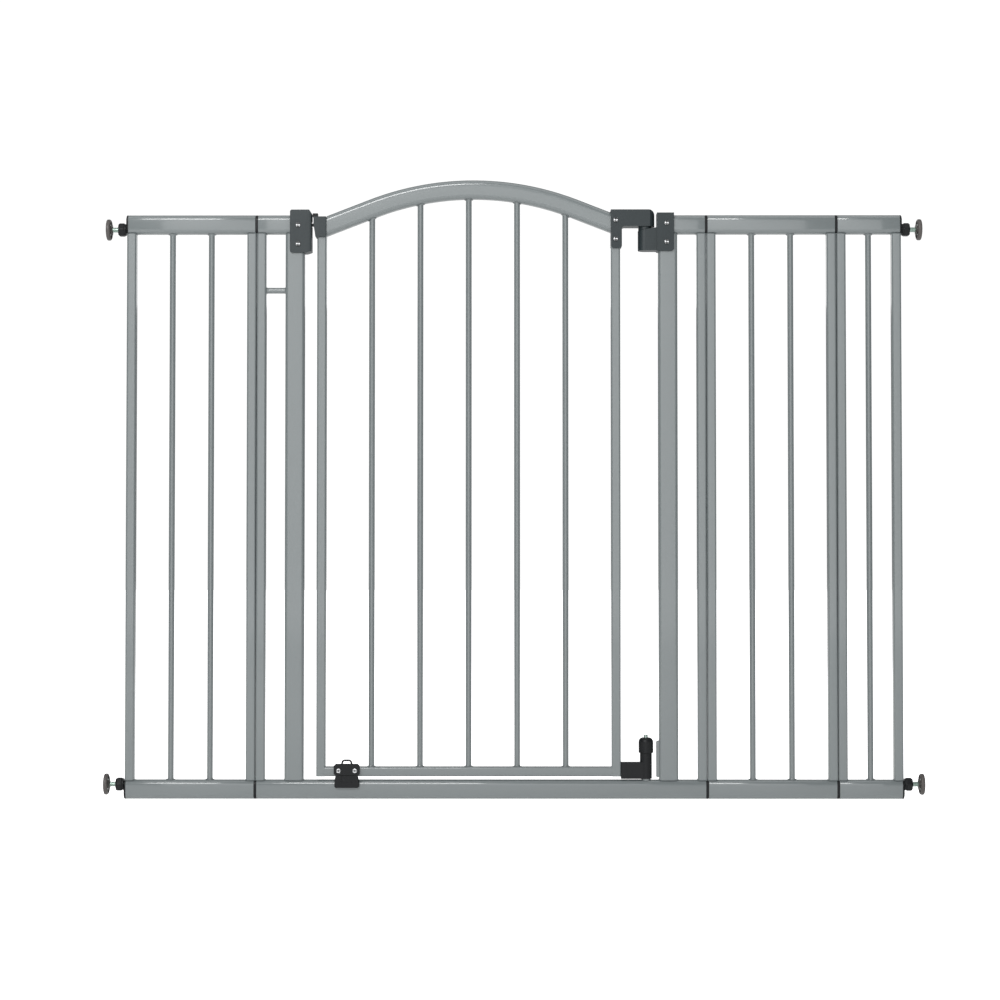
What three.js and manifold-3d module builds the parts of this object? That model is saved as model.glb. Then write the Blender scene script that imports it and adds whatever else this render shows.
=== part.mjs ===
// Pressure-mounted walk-through safety gate with an arched door and three side extensions.
// Millimetres, +Z up. The origin is on the floor, in the middle of the gate.
// The gate stands in the X-Z plane: -Y is the front, and the door swings open towards +Y.
import * as THREE from "three";
import { mergeVertices } from "three/addons/utils/BufferGeometryUtils.js";
import Module from "manifold-3d";

const wasm = await Module();
wasm.setup();

// ---- Driving dimensions ----

// Overall
const crownHeight = 965; // floor to the top of the door's arch
const railDrop = 55; // top of the arch down to the top of the straight rails
const mainWidth = 702; // main frame, seam to seam
const wideWidth = 203; // wide extension, seam to seam
const narrowWidth = 101.5; // narrow extension, seam to free end

// Tubes
const railTall = 30;
const railDeep = 20;
const railRadius = 8;
const postWide = 14.5;
const postDeep = 18;
const postRadius = 3;
const mainPostWide = 30;
const mainPostDeep = 19;
const mainPostRadius = 5;
const tubeWall = 1.2;
const barDiameter = 9.2;
const barWall = 1;
const barMaxGap = 67; // widest clear gap allowed between bars
const collarDiameter = 14;
const collarTall = 3;
const braceDrop = 118; // top of the rails down to the brace in the side bay

// Seams
const postGap = 0.6; // between the two posts that meet at a seam
const flangeThick = 3.6; // connector flange between two rail ends
const plugLength = 24;
const plugPlay = 0.4; // around a plug inside a tube
const touch = 0.3; // between two pieces that rest on each other

// Doorway
const sideBay = 45; // seam to the wide post
const latchGap = 19.6; // wide post to the door's post on the latch side
const hingeStandoff = 20.2; // hinge axis to the wide post
const hingeReach = 39.1; // hinge axis to the door's post
const doorRailTall = 15;
const doorRailRadius = 3;
const doorClearance = 5; // under the door
const archFall = 56.2; // top of the arch down to its ends at the door's posts
const archHalfAngle = THREE.MathUtils.degToRad(21.2); // slope of the arch's straight ends
const latchPostDrop = 22; // top of the rails down to the top of the door's post
const hingePostDrop = 21;

// Plastic housings
const housingCover = 2.7; // wall over the front and back of a rail
const screwPitch = 29.4;
const screwDiameter = 4;
const screwHeadDiameter = 7.6;
const screwHeadThick = 1.9;
const screwLength = 8.5;
const screwSlot = 1.1;

// Latch
const boltTall = 4;
const boltDeep = 10;
const boltTravel = 6;
const boltDrop = 15; // top of the rails down to the middle of the bolt
const slotPlay = 1;
const strikeRise = 7.6; // top of the strike housing above the rails
const strikeTall = 67.2;
const strikeReach = 11.2; // strike housing's nose beyond the wide post
const headReach = 5.6; // latch head's nose beyond the door's post
const headTall = 32;
const headGap = 1.8; // latch head's top under the arch's top

// Hinge
const pinDiameter = 8;
const pinPlay = 0.3;
const barrelWall = 6.9;
const armEndRadius = 14.9;
const armRise = 7.7; // top of the hinge arm above the rails
const armTall = 26;
const armLegTall = 60.2;
const knuckleRise = 2.8; // top of the knuckle above the rails
const knuckleTall = 59.9;
const barrelTall = 37.7;
const camDrop = 4.8; // arm's underside down to the cam seat, on the hinge axis
const camSlope = 0.18; // rise of the cam seat per millimetre along X
const camGap = 0.4;
const bottomPinDiameter = 6.2;
const bracketTall = 24.4;
const bracketPegRadius = 4;
const sleeveRadius = 9.4;
const sleeveTall = 38.6;
const capRadius = 11.5;
const capTall = 24.5;
const springRadius = 6.2;
const springWire = 1.5;

// Stop at the bottom of the door
const stopInset = 48; // door's edge to the middle of the stop
const stopHalfWide = 20;
const stopTall = 17.5;
const stopShellThick = 2.4;
const stopTravel = 8;
const stopPlateThick = 2.2;
const stopPlateWide = 18;
const stopScrewReach = 12.6;
const catchHalfWide = 19;
const catchDrop = 12; // top of the bottom rail down to the catch's lower edge

// Wall spindles
const spindleDiameter = 8;
const spindleInside = 55; // length of rod inside the rail
const spindlePlay = 0.3;
const padDiameter = 33;
const padThick = 11;
const padReach = 32; // free end of the rail to the face of the pad
const nutAcross = 20;
const nutStart = 1.8; // free end of the rail to the nut's collar
const nutCollarLength = 3;
const nutLength = 12.2;
const spindleOffset = 7.6; // spindle axis to the middle of the rail

// Smoothness
const cornerSteps = 2;
const hollowSteps = 1;
const archSteps = 16;
const roundSides = 20;
const barSides = 10;
const ahead = 1; // how far a cutter runs past the material, or a joined piece into it

// ---- Places that follow from the dimensions ----

const railHeight = crownHeight - railDrop;
const railInset = flangeThick / 2 + touch; // rail end to the seam plane
const topRailMiddle = railHeight - railTall / 2;
const bottomRailMiddle = railTall / 2;
const totalWidth = 2 * wideWidth + mainWidth + narrowWidth;
const leftEnd = -totalWidth / 2;
const leftSeam = leftEnd + wideWidth;
const rightSeam = leftSeam + mainWidth;
const narrowSeam = rightSeam + wideWidth;
const rightEnd = narrowSeam + narrowWidth;
const leftPostInner = leftSeam + sideBay + mainPostWide;
const rightPostInner = rightSeam - sideBay - mainPostWide;
const hingeX = rightPostInner - hingeStandoff;
const doorRight = hingeX - hingeReach;
const doorLeft = leftPostInner + latchGap;
const latchPostRight = doorLeft + postWide;
const hingePostLeft = doorRight - postWide;
const doorBottom = railTall + doorClearance;
const doorRailMiddle = doorBottom + doorRailTall / 2;
const crownX = (latchPostRight + doorRight) / 2;
const archSpan = doorRight - crownX;
const archRadius = ((archSpan * Math.tan(archHalfAngle) - archFall) * Math.cos(archHalfAngle)) /
  (1 - Math.cos(archHalfAngle));
const archMiddleRadius = archRadius - railTall / 2;
const braceHeight = railHeight - braceDrop;
const latchPostTop = railHeight - latchPostDrop;
const hingePostTop = railHeight - hingePostDrop;
const housingDeep = Math.max(railDeep, postDeep, mainPostDeep) + 2 * (touch + housingCover);
const housingFront = -housingDeep / 2;
const coverCavity = housingDeep / 2 - housingCover; // half the depth inside a housing
const strikeScrewX = leftPostInner - 10;
const strikeScrewTop = railHeight - 16.8;
const latchZ = railHeight - boltDrop; // middle of the bolt
const strikeRight = leftPostInner + strikeReach;
const strikeTop = railHeight + strikeRise;
const headLeft = doorLeft - headReach;
const headTop = crownHeight - archDrop(latchPostRight) - headGap;
const sliderStart = doorLeft - 2.4;
const armTop = railHeight + armRise;
const armBottom = armTop - armTall;
const camHeight = armBottom - camDrop; // cam seat, on the hinge axis
const barrelBottom = armBottom - barrelTall;
const armScrewX = (hingePostLeft + doorRight) / 2;
const armScrewTop = armTop - 16.7;
const knuckleScrewX = rightPostInner + 13;
const knuckleScrewTop = railHeight - 13.6;
const barrelRadius = pinDiameter / 2 + pinPlay + barrelWall;
const bracketBottom = doorBottom - 2.4;
const bracketTop = bracketBottom + bracketTall;
const bracketPegZ = bracketTop - 12;
const sleeveTop = bracketBottom + sleeveTall;
const capBottom = sleeveTop + touch;
const capTop = capBottom + capTall;
const stopX = doorLeft + stopInset;
const stopScrewZ = doorBottom + 9.5;
const stopPlateBack = -postDeep / 2 - touch;
const stopPlateFront = stopPlateBack - touch - stopPlateThick;
const stopShellFront = stopPlateFront - touch - stopShellThick;
const stopLow = doorBottom + 2.5;
const stopHigh = stopLow + stopTall;
const topSpindleZ = topRailMiddle - spindleOffset;
const bottomSpindleZ = bottomRailMiddle + spindleOffset;

// ---- Finishes ----

function finish(color, roughness, metalness) {
  return () => new THREE.MeshStandardMaterial({ color, roughness, metalness });
}

const greyPaint = finish(0x8f979a, 0.35, 0.2);
const slatePlastic = finish(0x474d50, 0.5, 0);
const blackPlastic = finish(0x2c2e30, 0.5, 0);
const padRubber = finish(0x3b3634, 0.8, 0);
const zincSteel = finish(0x9a9c94, 0.35, 0.9);
const screwSteel = finish(0xc4c6c8, 0.3, 0.95);
const darkScrew = finish(0x33373a, 0.35, 0.6);
const springSteel = finish(0xa8aaac, 0.3, 0.95);

// ---- Solids: closed shapes that can be joined and cut ----

const alongX = new THREE.Matrix4().makeBasis(
  new THREE.Vector3(0, 1, 0),
  new THREE.Vector3(0, 0, 1),
  new THREE.Vector3(1, 0, 0),
);
const alongZ = new THREE.Matrix4();
const alongFront = new THREE.Matrix4().makeBasis(
  new THREE.Vector3(1, 0, 0),
  new THREE.Vector3(0, 0, 1),
  new THREE.Vector3(0, -1, 0),
);

function solid(geometry) {
  geometry.deleteAttribute("normal");
  geometry.deleteAttribute("uv");
  const merged = mergeVertices(geometry, 1e-4);
  const vertProperties = new Float32Array(merged.attributes.position.array);
  const triVerts = new Uint32Array(merged.index.array);
  return new wasm.Manifold(new wasm.Mesh({ numProp: 3, vertProperties, triVerts }));
}

function join(parts) {
  return parts.reduce((whole, part) => whole.add(part));
}

function cut(whole, cutters) {
  return cutters.length ? whole.subtract(join(cutters)) : whole;
}

function piece(name, shape, material) {
  const mesh = shape.getMesh();
  const geometry = new THREE.BufferGeometry();
  geometry.setAttribute("position", new THREE.BufferAttribute(mesh.vertProperties, 3));
  geometry.setIndex(new THREE.BufferAttribute(mesh.triVerts, 1));
  geometry.computeVertexNormals();
  const made = new THREE.Mesh(geometry, material());
  made.name = name;
  return made;
}

function group(parts, x = 0, y = 0, z = 0) {
  const made = new THREE.Group();
  made.add(...parts);
  made.position.set(x, y, z);
  return made;
}

function box(x0, x1, y0, y1, z0, z1) {
  const geometry = new THREE.BoxGeometry(x1 - x0, y1 - y0, z1 - z0);
  geometry.translate((x0 + x1) / 2, (y0 + y1) / 2, (z0 + z1) / 2);
  return solid(geometry);
}

// A straight extrusion of a shape, from start to end along X or Z, or from the back to the front.
function extrude(shape, direction, start, end, curveSegments = cornerSteps) {
  const options = { depth: end - start, bevelEnabled: false, curveSegments };
  const geometry = new THREE.ExtrudeGeometry(shape, options);
  geometry.translate(0, 0, start);
  geometry.applyMatrix4(direction);
  return geometry;
}

function roundedRectangle(width, height, radius, x = 0, y = 0) {
  const left = x - width / 2;
  const right = x + width / 2;
  const low = y - height / 2;
  const high = y + height / 2;
  const shape = new THREE.Shape();
  shape.absarc(right - radius, low + radius, radius, -Math.PI / 2, 0);
  shape.absarc(right - radius, high - radius, radius, 0, Math.PI / 2);
  shape.absarc(left + radius, high - radius, radius, Math.PI / 2, Math.PI);
  shape.absarc(left + radius, low + radius, radius, Math.PI, 1.5 * Math.PI);
  return shape;
}

// A round rod or cone along "x", "y" or "z"; the end radius is the same unless it is given.
function rod(axis, centre, start, end, radius, endRadius = radius, sides = roundSides) {
  const geometry = new THREE.CylinderGeometry(endRadius, radius, end - start, sides);
  geometry.translate(0, (start + end) / 2, 0);
  if (axis === "x") geometry.rotateZ(-Math.PI / 2);
  if (axis === "z") geometry.rotateX(Math.PI / 2);
  geometry.translate(...centre);
  return solid(geometry);
}

// A turned shape about the X axis, from points of [distance along X, radius].
function turnedAlongX(points, sides = roundSides) {
  const profile = points.map(([along, radius]) => new THREE.Vector2(radius, along));
  const geometry = new THREE.LatheGeometry(profile, sides);
  geometry.rotateZ(-Math.PI / 2);
  return geometry;
}

// ---- Tubes: each gives its outer solid and the hollow inside it ----

function railSection(inset) {
  return roundedRectangle(railDeep - 2 * inset, railTall - 2 * inset, railRadius - inset);
}

function rail(start, end, middle) {
  const outer = extrude(railSection(0), alongX, start, end).translate(0, 0, middle);
  const inner = extrude(
    railSection(tubeWall), alongX, start - ahead, end + ahead, hollowSteps,
  );
  return { outer: solid(outer), inner: solid(inner.translate(0, 0, middle)) };
}

function upright(left, wide, deep, radius, bottom, top) {
  const middle = left + wide / 2;
  const skin = roundedRectangle(wide, deep, radius, middle);
  const hollow = roundedRectangle(
    wide - 2 * tubeWall, deep - 2 * tubeWall, radius - tubeWall, middle,
  );
  return {
    outer: solid(extrude(skin, alongZ, bottom, top)),
    inner: solid(extrude(hollow, alongZ, bottom, top, hollowSteps)),
  };
}

function thinPost(left, bottom = bottomRailMiddle, top = topRailMiddle) {
  return upright(left, postWide, postDeep, postRadius, bottom, top);
}

function widePost(left) {
  return upright(
    left, mainPostWide, mainPostDeep, mainPostRadius, bottomRailMiddle, topRailMiddle,
  );
}

// A round bar between the middles of two tubes, with a small flared collar at each surface.
function bar(x, lowMiddle, lowFace, highFace, highMiddle) {
  const radius = barDiameter / 2;
  const centre = [x, 0, 0];
  const flare = collarDiameter / 2;
  const sunk = 2;
  const lowEnd = lowFace + collarTall;
  const highEnd = highFace - collarTall;
  return {
    outer: join([
      rod("z", centre, lowMiddle, highMiddle, radius, radius, barSides),
      rod("z", centre, lowFace - sunk, lowFace, flare, flare, barSides),
      rod("z", centre, lowFace, lowEnd, flare, radius, barSides),
      rod("z", centre, highEnd, highFace, radius, flare, barSides),
      rod("z", centre, highFace, highFace + sunk, flare, flare, barSides),
    ]),
    inner: rod(
      "z", centre, lowMiddle, highMiddle, radius - barWall, radius - barWall, barSides,
    ),
  };
}

// The middles of the bars that fill a bay, evenly spaced with no gap over the limit.
function barPlaces(left, right) {
  const clear = right - left;
  const count = Math.max(0, Math.ceil((clear - barMaxGap) / (barMaxGap + barDiameter)));
  const gap = (clear - count * barDiameter) / (count + 1);
  return Array.from(
    { length: count },
    (_, i) => left + (i + 1) * gap + (i + 0.5) * barDiameter,
  );
}

// Joins tubes into one welded frame with their hollows joined too.
function weld(tubes, cutters = []) {
  const skin = join(tubes.map((tube) => tube.outer));
  const hollow = join(tubes.map((tube) => tube.inner).filter(Boolean));
  return cut(skin.subtract(hollow), cutters);
}

// Room for the flanges at a frame's two ends: the outer posts stop short of them.
function flangeRoom(left, right) {
  const topLow = railHeight - railTall - touch;
  return [left, right].flatMap((x) => [
    box(x - railInset, x + railInset, -railDeep, railDeep, -ahead, railTall + touch),
    box(x - railInset, x + railInset, -railDeep, railDeep, topLow, railHeight + ahead),
  ]);
}

function screwHole(x, z) {
  return rod("y", [x, 0, z], -railDeep, -railDeep / 4, screwDiameter / 2 + touch);
}

// ---- Frames ----

function extensionFrame(name, width) {
  const left = postGap / 2;
  const right = width - postGap / 2;
  const bars = barPlaces(left + postWide, right - postWide);
  const tubes = [
    rail(railInset, width - railInset, bottomRailMiddle),
    rail(railInset, width - railInset, topRailMiddle),
    thinPost(left),
    thinPost(right - postWide),
    ...bars.map((x) =>
      bar(x, bottomRailMiddle, railTall, railHeight - railTall, topRailMiddle),
    ),
  ];
  return piece(name, weld(tubes, flangeRoom(0, width)), greyPaint);
}

function brace() {
  const start = leftSeam + postGap / 2 + postWide / 2;
  const end = leftSeam + sideBay + mainPostWide / 2;
  const radius = barDiameter / 2;
  const wallToWall = [start + postWide / 2, leftSeam + sideBay];
  const [low, high] = wallToWall;
  const centre = [0, 0, braceHeight];
  return {
    outer: join([
      rod("x", centre, start, end, radius, radius, barSides),
      rod("x", centre, low - ahead, low, radius + 2, radius + 2, barSides),
      rod("x", centre, low, low + 2, radius + 2, radius, barSides),
      rod("x", centre, high - 2, high, radius, radius + 2, barSides),
      rod("x", centre, high, high + ahead, radius + 2, radius + 2, barSides),
    ]),
    inner: rod("x", centre, start, end, radius - barWall, radius - barWall, barSides),
  };
}

// The strip on the wide post beside the bottom hinge.
function stopStrip() {
  const strip = box(rightPostInner - 4.4, rightPostInner + 0.6, -6, 6, 34, 90);
  return { outer: strip };
}

function pinSocket() {
  return rod("z", [hingeX, 0, 0], railTall - 2, railTall + 2, 7.5, 6.5);
}

function mainFrame() {
  const topLeft = rail(leftSeam + railInset, leftPostInner, topRailMiddle);
  const topRight = rail(rightPostInner, rightSeam - railInset, topRailMiddle);
  const tubes = [
    rail(leftSeam + railInset, rightSeam - railInset, bottomRailMiddle),
    topLeft,
    topRight,
    thinPost(leftSeam + postGap / 2),
    thinPost(rightSeam - postGap / 2 - postWide),
    widePost(leftPostInner - mainPostWide),
    widePost(rightPostInner),
    brace(),
    stopStrip(),
    { outer: pinSocket() },
  ];
  const holes = [
    ...flangeRoom(leftSeam, rightSeam),
    screwHole(strikeScrewX, strikeScrewTop),
    screwHole(strikeScrewX, strikeScrewTop - screwPitch),
    screwHole(knuckleScrewX, knuckleScrewTop),
    screwHole(knuckleScrewX, knuckleScrewTop - screwPitch),
    rod("y", [stopX, 0, bottomRailMiddle + 6], -railDeep, -railDeep / 4, 2.5 + touch),
    rod("z", [hingeX, 0, 0], railTall / 2, railTall + 5, bottomPinDiameter / 2 + touch),
  ];
  return piece("main_frame", weld(tubes, holes), greyPaint);
}

// The arch's middle line: a straight slope, the crown's arc, and a straight slope down again.
class ArchLine extends THREE.Curve {
  constructor(reach) {
    super();
    this.reach = reach;
  }

  getPoint(t, target = new THREE.Vector3()) {
    const along = (2 * t - 1) * this.reach;
    const side = Math.sign(along) || 1;
    const arcLength = archMiddleRadius * archHalfAngle;
    const onArc = Math.min(Math.abs(along), arcLength);
    const angle = onArc / archMiddleRadius;
    const beyond = Math.abs(along) - onArc;
    const x = archMiddleRadius * Math.sin(angle) + beyond * Math.cos(angle);
    const drop = archMiddleRadius * (1 - Math.cos(angle)) + beyond * Math.sin(angle);
    return target.set(crownX + side * x, 0, crownHeight - railTall / 2 - drop);
  }
}

function archDrop(x) {
  const away = Math.abs(x - crownX);
  const arcEnd = archRadius * Math.sin(archHalfAngle);
  const onArc = Math.min(away, arcEnd);
  const arcDrop = archRadius - Math.sqrt(archRadius ** 2 - onArc ** 2);
  return arcDrop + (away - onArc) * Math.tan(archHalfAngle);
}

function archUnderside(x) {
  const slope = Math.min(Math.abs(x - crownX) / archRadius, Math.sin(archHalfAngle));
  return crownHeight - archDrop(x) - railTall / Math.sqrt(1 - slope ** 2);
}

function archSweep(inset, reach, curveSegments) {
  const section = roundedRectangle(
    railDeep - 2 * inset, railTall - 2 * inset, railRadius - inset,
  );
  const extrudePath = new ArchLine(reach);
  const options = { steps: archSteps, extrudePath, curveSegments, bevelEnabled: false };
  return solid(new THREE.ExtrudeGeometry(section, options));
}

function arch() {
  const span = doorRight - crownX;
  const reach = span + 30;
  const low = latchPostTop - 60;
  const high = crownHeight + ahead;
  const deep = railDeep;
  const lipDeep = postDeep / 2 - tubeWall / 2;
  const outerLimit = join([
    box(latchPostRight, doorRight, -deep, deep, low, high),
    box(latchPostRight - 6, latchPostRight + ahead, -lipDeep, lipDeep, low, latchPostTop),
  ]);
  const innerLimit = join([
    box(latchPostRight + tubeWall, doorRight + ahead, -deep, deep, low, high),
    box(latchPostRight - 4, latchPostRight + 2 * tubeWall, -deep, deep,
      low, latchPostTop - tubeWall),
  ]);
  return {
    outer: archSweep(0, reach, cornerSteps).intersect(outerLimit),
    inner: archSweep(tubeWall, reach, hollowSteps).intersect(innerLimit),
  };
}

function doorRail() {
  const start = doorLeft + postWide / 2;
  const end = doorRight - postWide / 2;
  const section = (inset) =>
    roundedRectangle(
      postDeep - 2 * inset, doorRailTall - 2 * inset, doorRailRadius - inset, 0, doorRailMiddle,
    );
  return {
    outer: solid(extrude(section(0), alongX, start, end)),
    inner: solid(extrude(section(tubeWall), alongX, start, end, hollowSteps)),
  };
}

function doorPost(left, top) {
  const post = thinPost(left, doorBottom, top);
  const closed = thinPost(left, doorBottom + tubeWall, top - tubeWall);
  return { outer: post.outer, inner: closed.inner };
}

function doorFrame() {
  const bars = barPlaces(latchPostRight, hingePostLeft);
  const railTop = doorBottom + doorRailTall;
  const tubes = [
    doorPost(doorLeft, latchPostTop),
    doorPost(hingePostLeft, hingePostTop),
    doorRail(),
    arch(),
    ...bars.map((x) => {
      const under = archUnderside(x);
      return bar(x, doorRailMiddle, railTop, under, under + railTall / 2);
    }),
  ];
  const holes = [
    screwHole(armScrewX, armScrewTop),
    screwHole(armScrewX, armScrewTop - screwPitch),
    screwHole(stopX - stopScrewReach, stopScrewZ),
    screwHole(stopX + stopScrewReach, stopScrewZ),
    rod("x", [0, 0, bracketPegZ], doorRight - 4, doorRight + ahead, bracketPegRadius + touch),
  ];
  return piece("door_frame", weld(tubes, holes), greyPaint);
}

// ---- Seams and wall spindles ----

function connector(name, x, middle) {
  const plug = (start, end) =>
    solid(extrude(railSection(tubeWall + plugPlay), alongX, start, end, hollowSteps));
  const flange = solid(extrude(railSection(0), alongX, -flangeThick / 2, flangeThick / 2));
  const shape = join([flange, plug(-plugLength, plugLength)]);
  const made = piece(name, shape, blackPlastic);
  made.position.set(x, 0, middle);
  return made;
}

// A bush in the free end of a rail, drawn with the rail towards +X and the wall towards -X.
function endBush(name, boreHeight) {
  const plug = solid(extrude(railSection(tubeWall + plugPlay), alongX, 0, 16, hollowSteps));
  const flange = solid(extrude(railSection(0), alongX, 0, railInset - touch));
  const dome = solid(extrude(railSection(1.5), alongX, -1.2, ahead));
  const bore = rod(
    "x", [0, 0, boreHeight], -5, 20, spindleDiameter / 2 + spindlePlay,
  );
  return piece(name, cut(join([flange, dome, plug]), [bore]), blackPlastic);
}

function spindle(name) {
  const headStart = padReach - 3;
  const shape = join([
    rod("x", [0, 0, 0], -headStart, spindleInside, spindleDiameter / 2),
    rod("x", [0, 0, 0], -headStart, 2.4 - headStart, 8.7),
  ]);
  return piece(name, shape, zincSteel);
}

function wallPad(name) {
  const rim = padDiameter / 2;
  const back = padThick - padReach;
  const face = -padReach;
  const socket = 8.7 + touch;
  const seat = 3 - padReach - touch;
  const profile = [
    [face, 0],
    [face, rim - 1.5],
    [face + 1.5, rim],
    [face + 5, rim],
    [face + 7, rim - 3],
    [back, rim - 5],
    [back, socket],
    [seat, socket],
    [seat, 0],
  ];
  return piece(name, solid(turnedAlongX(profile)), padRubber);
}

function handNut(name) {
  const flats = nutAcross / 2 / Math.cos(Math.PI / 6);
  const collarEnd = -nutStart - nutCollarLength;
  const end = -nutStart - nutLength;
  const body = join([
    rod("x", [0, 0, 0], collarEnd, -nutStart, 8.6),
    rod("x", [0, 0, 0], end + 2, collarEnd + 0.5, flats, flats, 6),
    rod("x", [0, 0, 0], end, end + 2.1, flats - 2, flats, 6),
  ]);
  const bore = rod("x", [0, 0, 0], -padReach, 0, spindleDiameter / 2 + spindlePlay);
  return piece(name, cut(body, [bore]), blackPlastic);
}

function wallFixing(corner, x, middle, axisZ, turn) {
  const bush = endBush("end_bush_" + corner, axisZ - middle);
  bush.position.z = middle - axisZ;
  const fixing = group(
    [bush, spindle("spindle_" + corner), wallPad("wall_pad_" + corner),
      handNut("hand_nut_" + corner)],
    x, 0, axisZ,
  );
  fixing.rotation.z = turn;
  return fixing;
}

// ---- Screws ----

function screw(name, x, y, z, material) {
  const head = screwHeadDiameter / 2;
  const slot = screwSlot / 2;
  const shape = cut(
    join([
      rod("y", [0, 0, 0], -screwHeadThick, 0, head - 1, head, 14),
      rod("y", [0, 0, 0], -0.5, screwLength, screwDiameter / 2, screwDiameter / 2, 10),
    ]),
    [
      box(-head / 2, head / 2, -5, -screwHeadThick / 2, -slot, slot),
      box(-slot, slot, -5, -screwHeadThick / 2, -head / 2, head / 2),
    ],
  );
  const made = piece(name, shape, material);
  made.position.set(x, y, z);
  return made;
}

// ---- Latch side, top ----

function outline(points) {
  return new THREE.Shape(points.map(([x, z]) => new THREE.Vector2(x, z)));
}

function housing(shape) {
  return solid(extrude(shape, alongFront, -housingDeep / 2, housingDeep / 2));
}

function strikeHousing() {
  const left = leftPostInner - 22.7;
  const low = strikeTop - strikeTall;
  const bodyShape = outline([
    [left, low], [strikeRight - 8, low], [strikeRight, low + 2.5],
    [strikeRight, strikeTop - 6], [strikeRight - 4, strikeTop], [left + 2, strikeTop],
    [left, strikeTop - 2],
  ]);
  const pocket = box(
    left - ahead, leftPostInner + touch, -coverCavity, coverCavity,
    low - ahead, railHeight + touch,
  );
  const latchSlot = box(
    leftPostInner, strikeRight + ahead, -boltDeep / 2 - 3, housingDeep,
    latchZ - boltTall / 2 - slotPlay, latchZ + boltTall / 2 + 3.5,
  );
  const shape = cut(housing(bodyShape), [
    pocket,
    latchSlot,
    screwHole(strikeScrewX, strikeScrewTop),
    screwHole(strikeScrewX, strikeScrewTop - screwPitch),
  ]);
  return piece("strike_housing", shape, slatePlastic);
}

function latchHead() {
  const low = headTop - headTall;
  const right = latchPostRight - touch;
  const bodyShape = outline([
    [headLeft + 3, low], [right, low], [right, headTop],
    [headLeft, headTop], [headLeft, headTop - 12],
  ]);
  const shape = cut(housing(bodyShape), [
    box(doorLeft - touch, right + ahead, -postDeep / 2 - touch, postDeep / 2 + touch,
      low - ahead, latchPostTop + touch),
    box(sliderStart - touch, right - 2, -boltDeep / 2 - touch, boltDeep / 2 + touch,
      latchPostTop + tubeWall, headTop - 2.6),
    box(headLeft - ahead, doorLeft, -boltDeep / 2 - touch, boltDeep / 2 + touch,
      latchZ - boltTall / 2 - touch, latchZ + boltTall / 2 + touch),
    box(sliderStart - touch, sliderStart + 3 + boltTravel + touch, -4 - touch, 4 + touch,
      headTop - 4, headTop + ahead),
  ]);
  return piece("latch_head", shape, slatePlastic);
}

function latchSlide() {
  const half = boltDeep / 2;
  const low = latchZ - boltTall / 2;
  const high = latchZ + boltTall / 2;
  const shape = join([
    box(leftPostInner + 4, sliderStart + 4, -half, half, low, high),
    box(sliderStart, sliderStart + 4, -half, half, low, headTop - 3.2),
    box(sliderStart, sliderStart + 3, -4, 4, headTop - 4, headTop + 3),
    box(headLeft - 2, sliderStart + 3, -5, 5, headTop + 0.5, headTop + 6),
  ]);
  return piece("latch_slide", shape, blackPlastic);
}

// A coil spring along Z from the origin; its wire has few sides.
function coilSpring(radius, wire, turns, length) {
  class Coil extends THREE.Curve {
    getPoint(t, target = new THREE.Vector3()) {
      const angle = 2 * Math.PI * turns * t;
      return target.set(radius * Math.cos(angle), radius * Math.sin(angle), length * t);
    }
  }
  const section = new THREE.Shape();
  section.absarc(0, 0, wire / 2, 0, 2 * Math.PI);
  const steps = turns * 8;
  const options = { steps, extrudePath: new Coil(), curveSegments: 3, bevelEnabled: false };
  return solid(new THREE.ExtrudeGeometry(section, options));
}

function latchSpring() {
  const start = sliderStart + 4 + boltTravel + 0.5;
  const end = latchPostRight - touch - 2 - 0.5;
  const made = piece("latch_spring", coilSpring(2.2, 0.7, 3, end - start - 0.7), springSteel);
  made.rotation.y = Math.PI / 2;
  made.position.set(start + 0.35, 0, latchZ);
  return made;
}

// ---- Hinge side, top ----

// Everything above the sloping cam plane, raised by an offset.
function aboveCam(offset) {
  const reach = 40;
  const shape = outline([
    [hingeX - reach, camHeight + offset - camSlope * reach],
    [hingeX + reach, camHeight + offset + camSlope * reach],
    [hingeX + reach, camHeight + 2 * reach],
    [hingeX - reach, camHeight + 2 * reach],
  ]);
  return solid(extrude(shape, alongFront, -reach, reach));
}

function hingeArm() {
  const left = hingePostLeft - 0.2;
  const legRight = doorRight + 2.6;
  const legBottom = armTop - armLegTall;
  const right = hingeX + armEndRadius;
  const corner = 9;
  const bodyShape = new THREE.Shape();
  bodyShape.moveTo(left, legBottom + 3);
  bodyShape.lineTo(left + 3, legBottom);
  bodyShape.lineTo(legRight - 3, legBottom);
  bodyShape.lineTo(legRight, legBottom + 3);
  bodyShape.lineTo(legRight, armBottom);
  bodyShape.lineTo(right, armBottom);
  bodyShape.lineTo(right, armTop - corner);
  bodyShape.absarc(right - corner, armTop - corner, corner, 0, Math.PI / 2);
  bodyShape.lineTo(left, armTop);
  const plan = join([
    box(left - ahead, hingeX, -housingDeep, housingDeep, legBottom - ahead, armTop + ahead),
    rod("z", [hingeX, 0, 0], armBottom - ahead, armTop + ahead, armEndRadius,
      armEndRadius, 2 * roundSides),
  ]);
  const collar = rod("z", [hingeX, 0, 0], camHeight - 6, armBottom + ahead, barrelRadius - 0.7)
    .intersect(aboveCam(camGap));
  const cavityTop = crownHeight - archDrop(left) + touch;
  const shape = cut(join([housing(bodyShape).intersect(plan), collar]), [
    box(left - ahead, doorRight + touch, -coverCavity, coverCavity,
      legBottom - ahead, cavityTop),
    rod("z", [hingeX, 0, 0], camHeight - 10, armTop - 5, pinDiameter / 2 + pinPlay),
    screwHole(armScrewX, armScrewTop),
    screwHole(armScrewX, armScrewTop - screwPitch),
  ]);
  return piece("hinge_arm", shape, slatePlastic);
}

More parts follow.
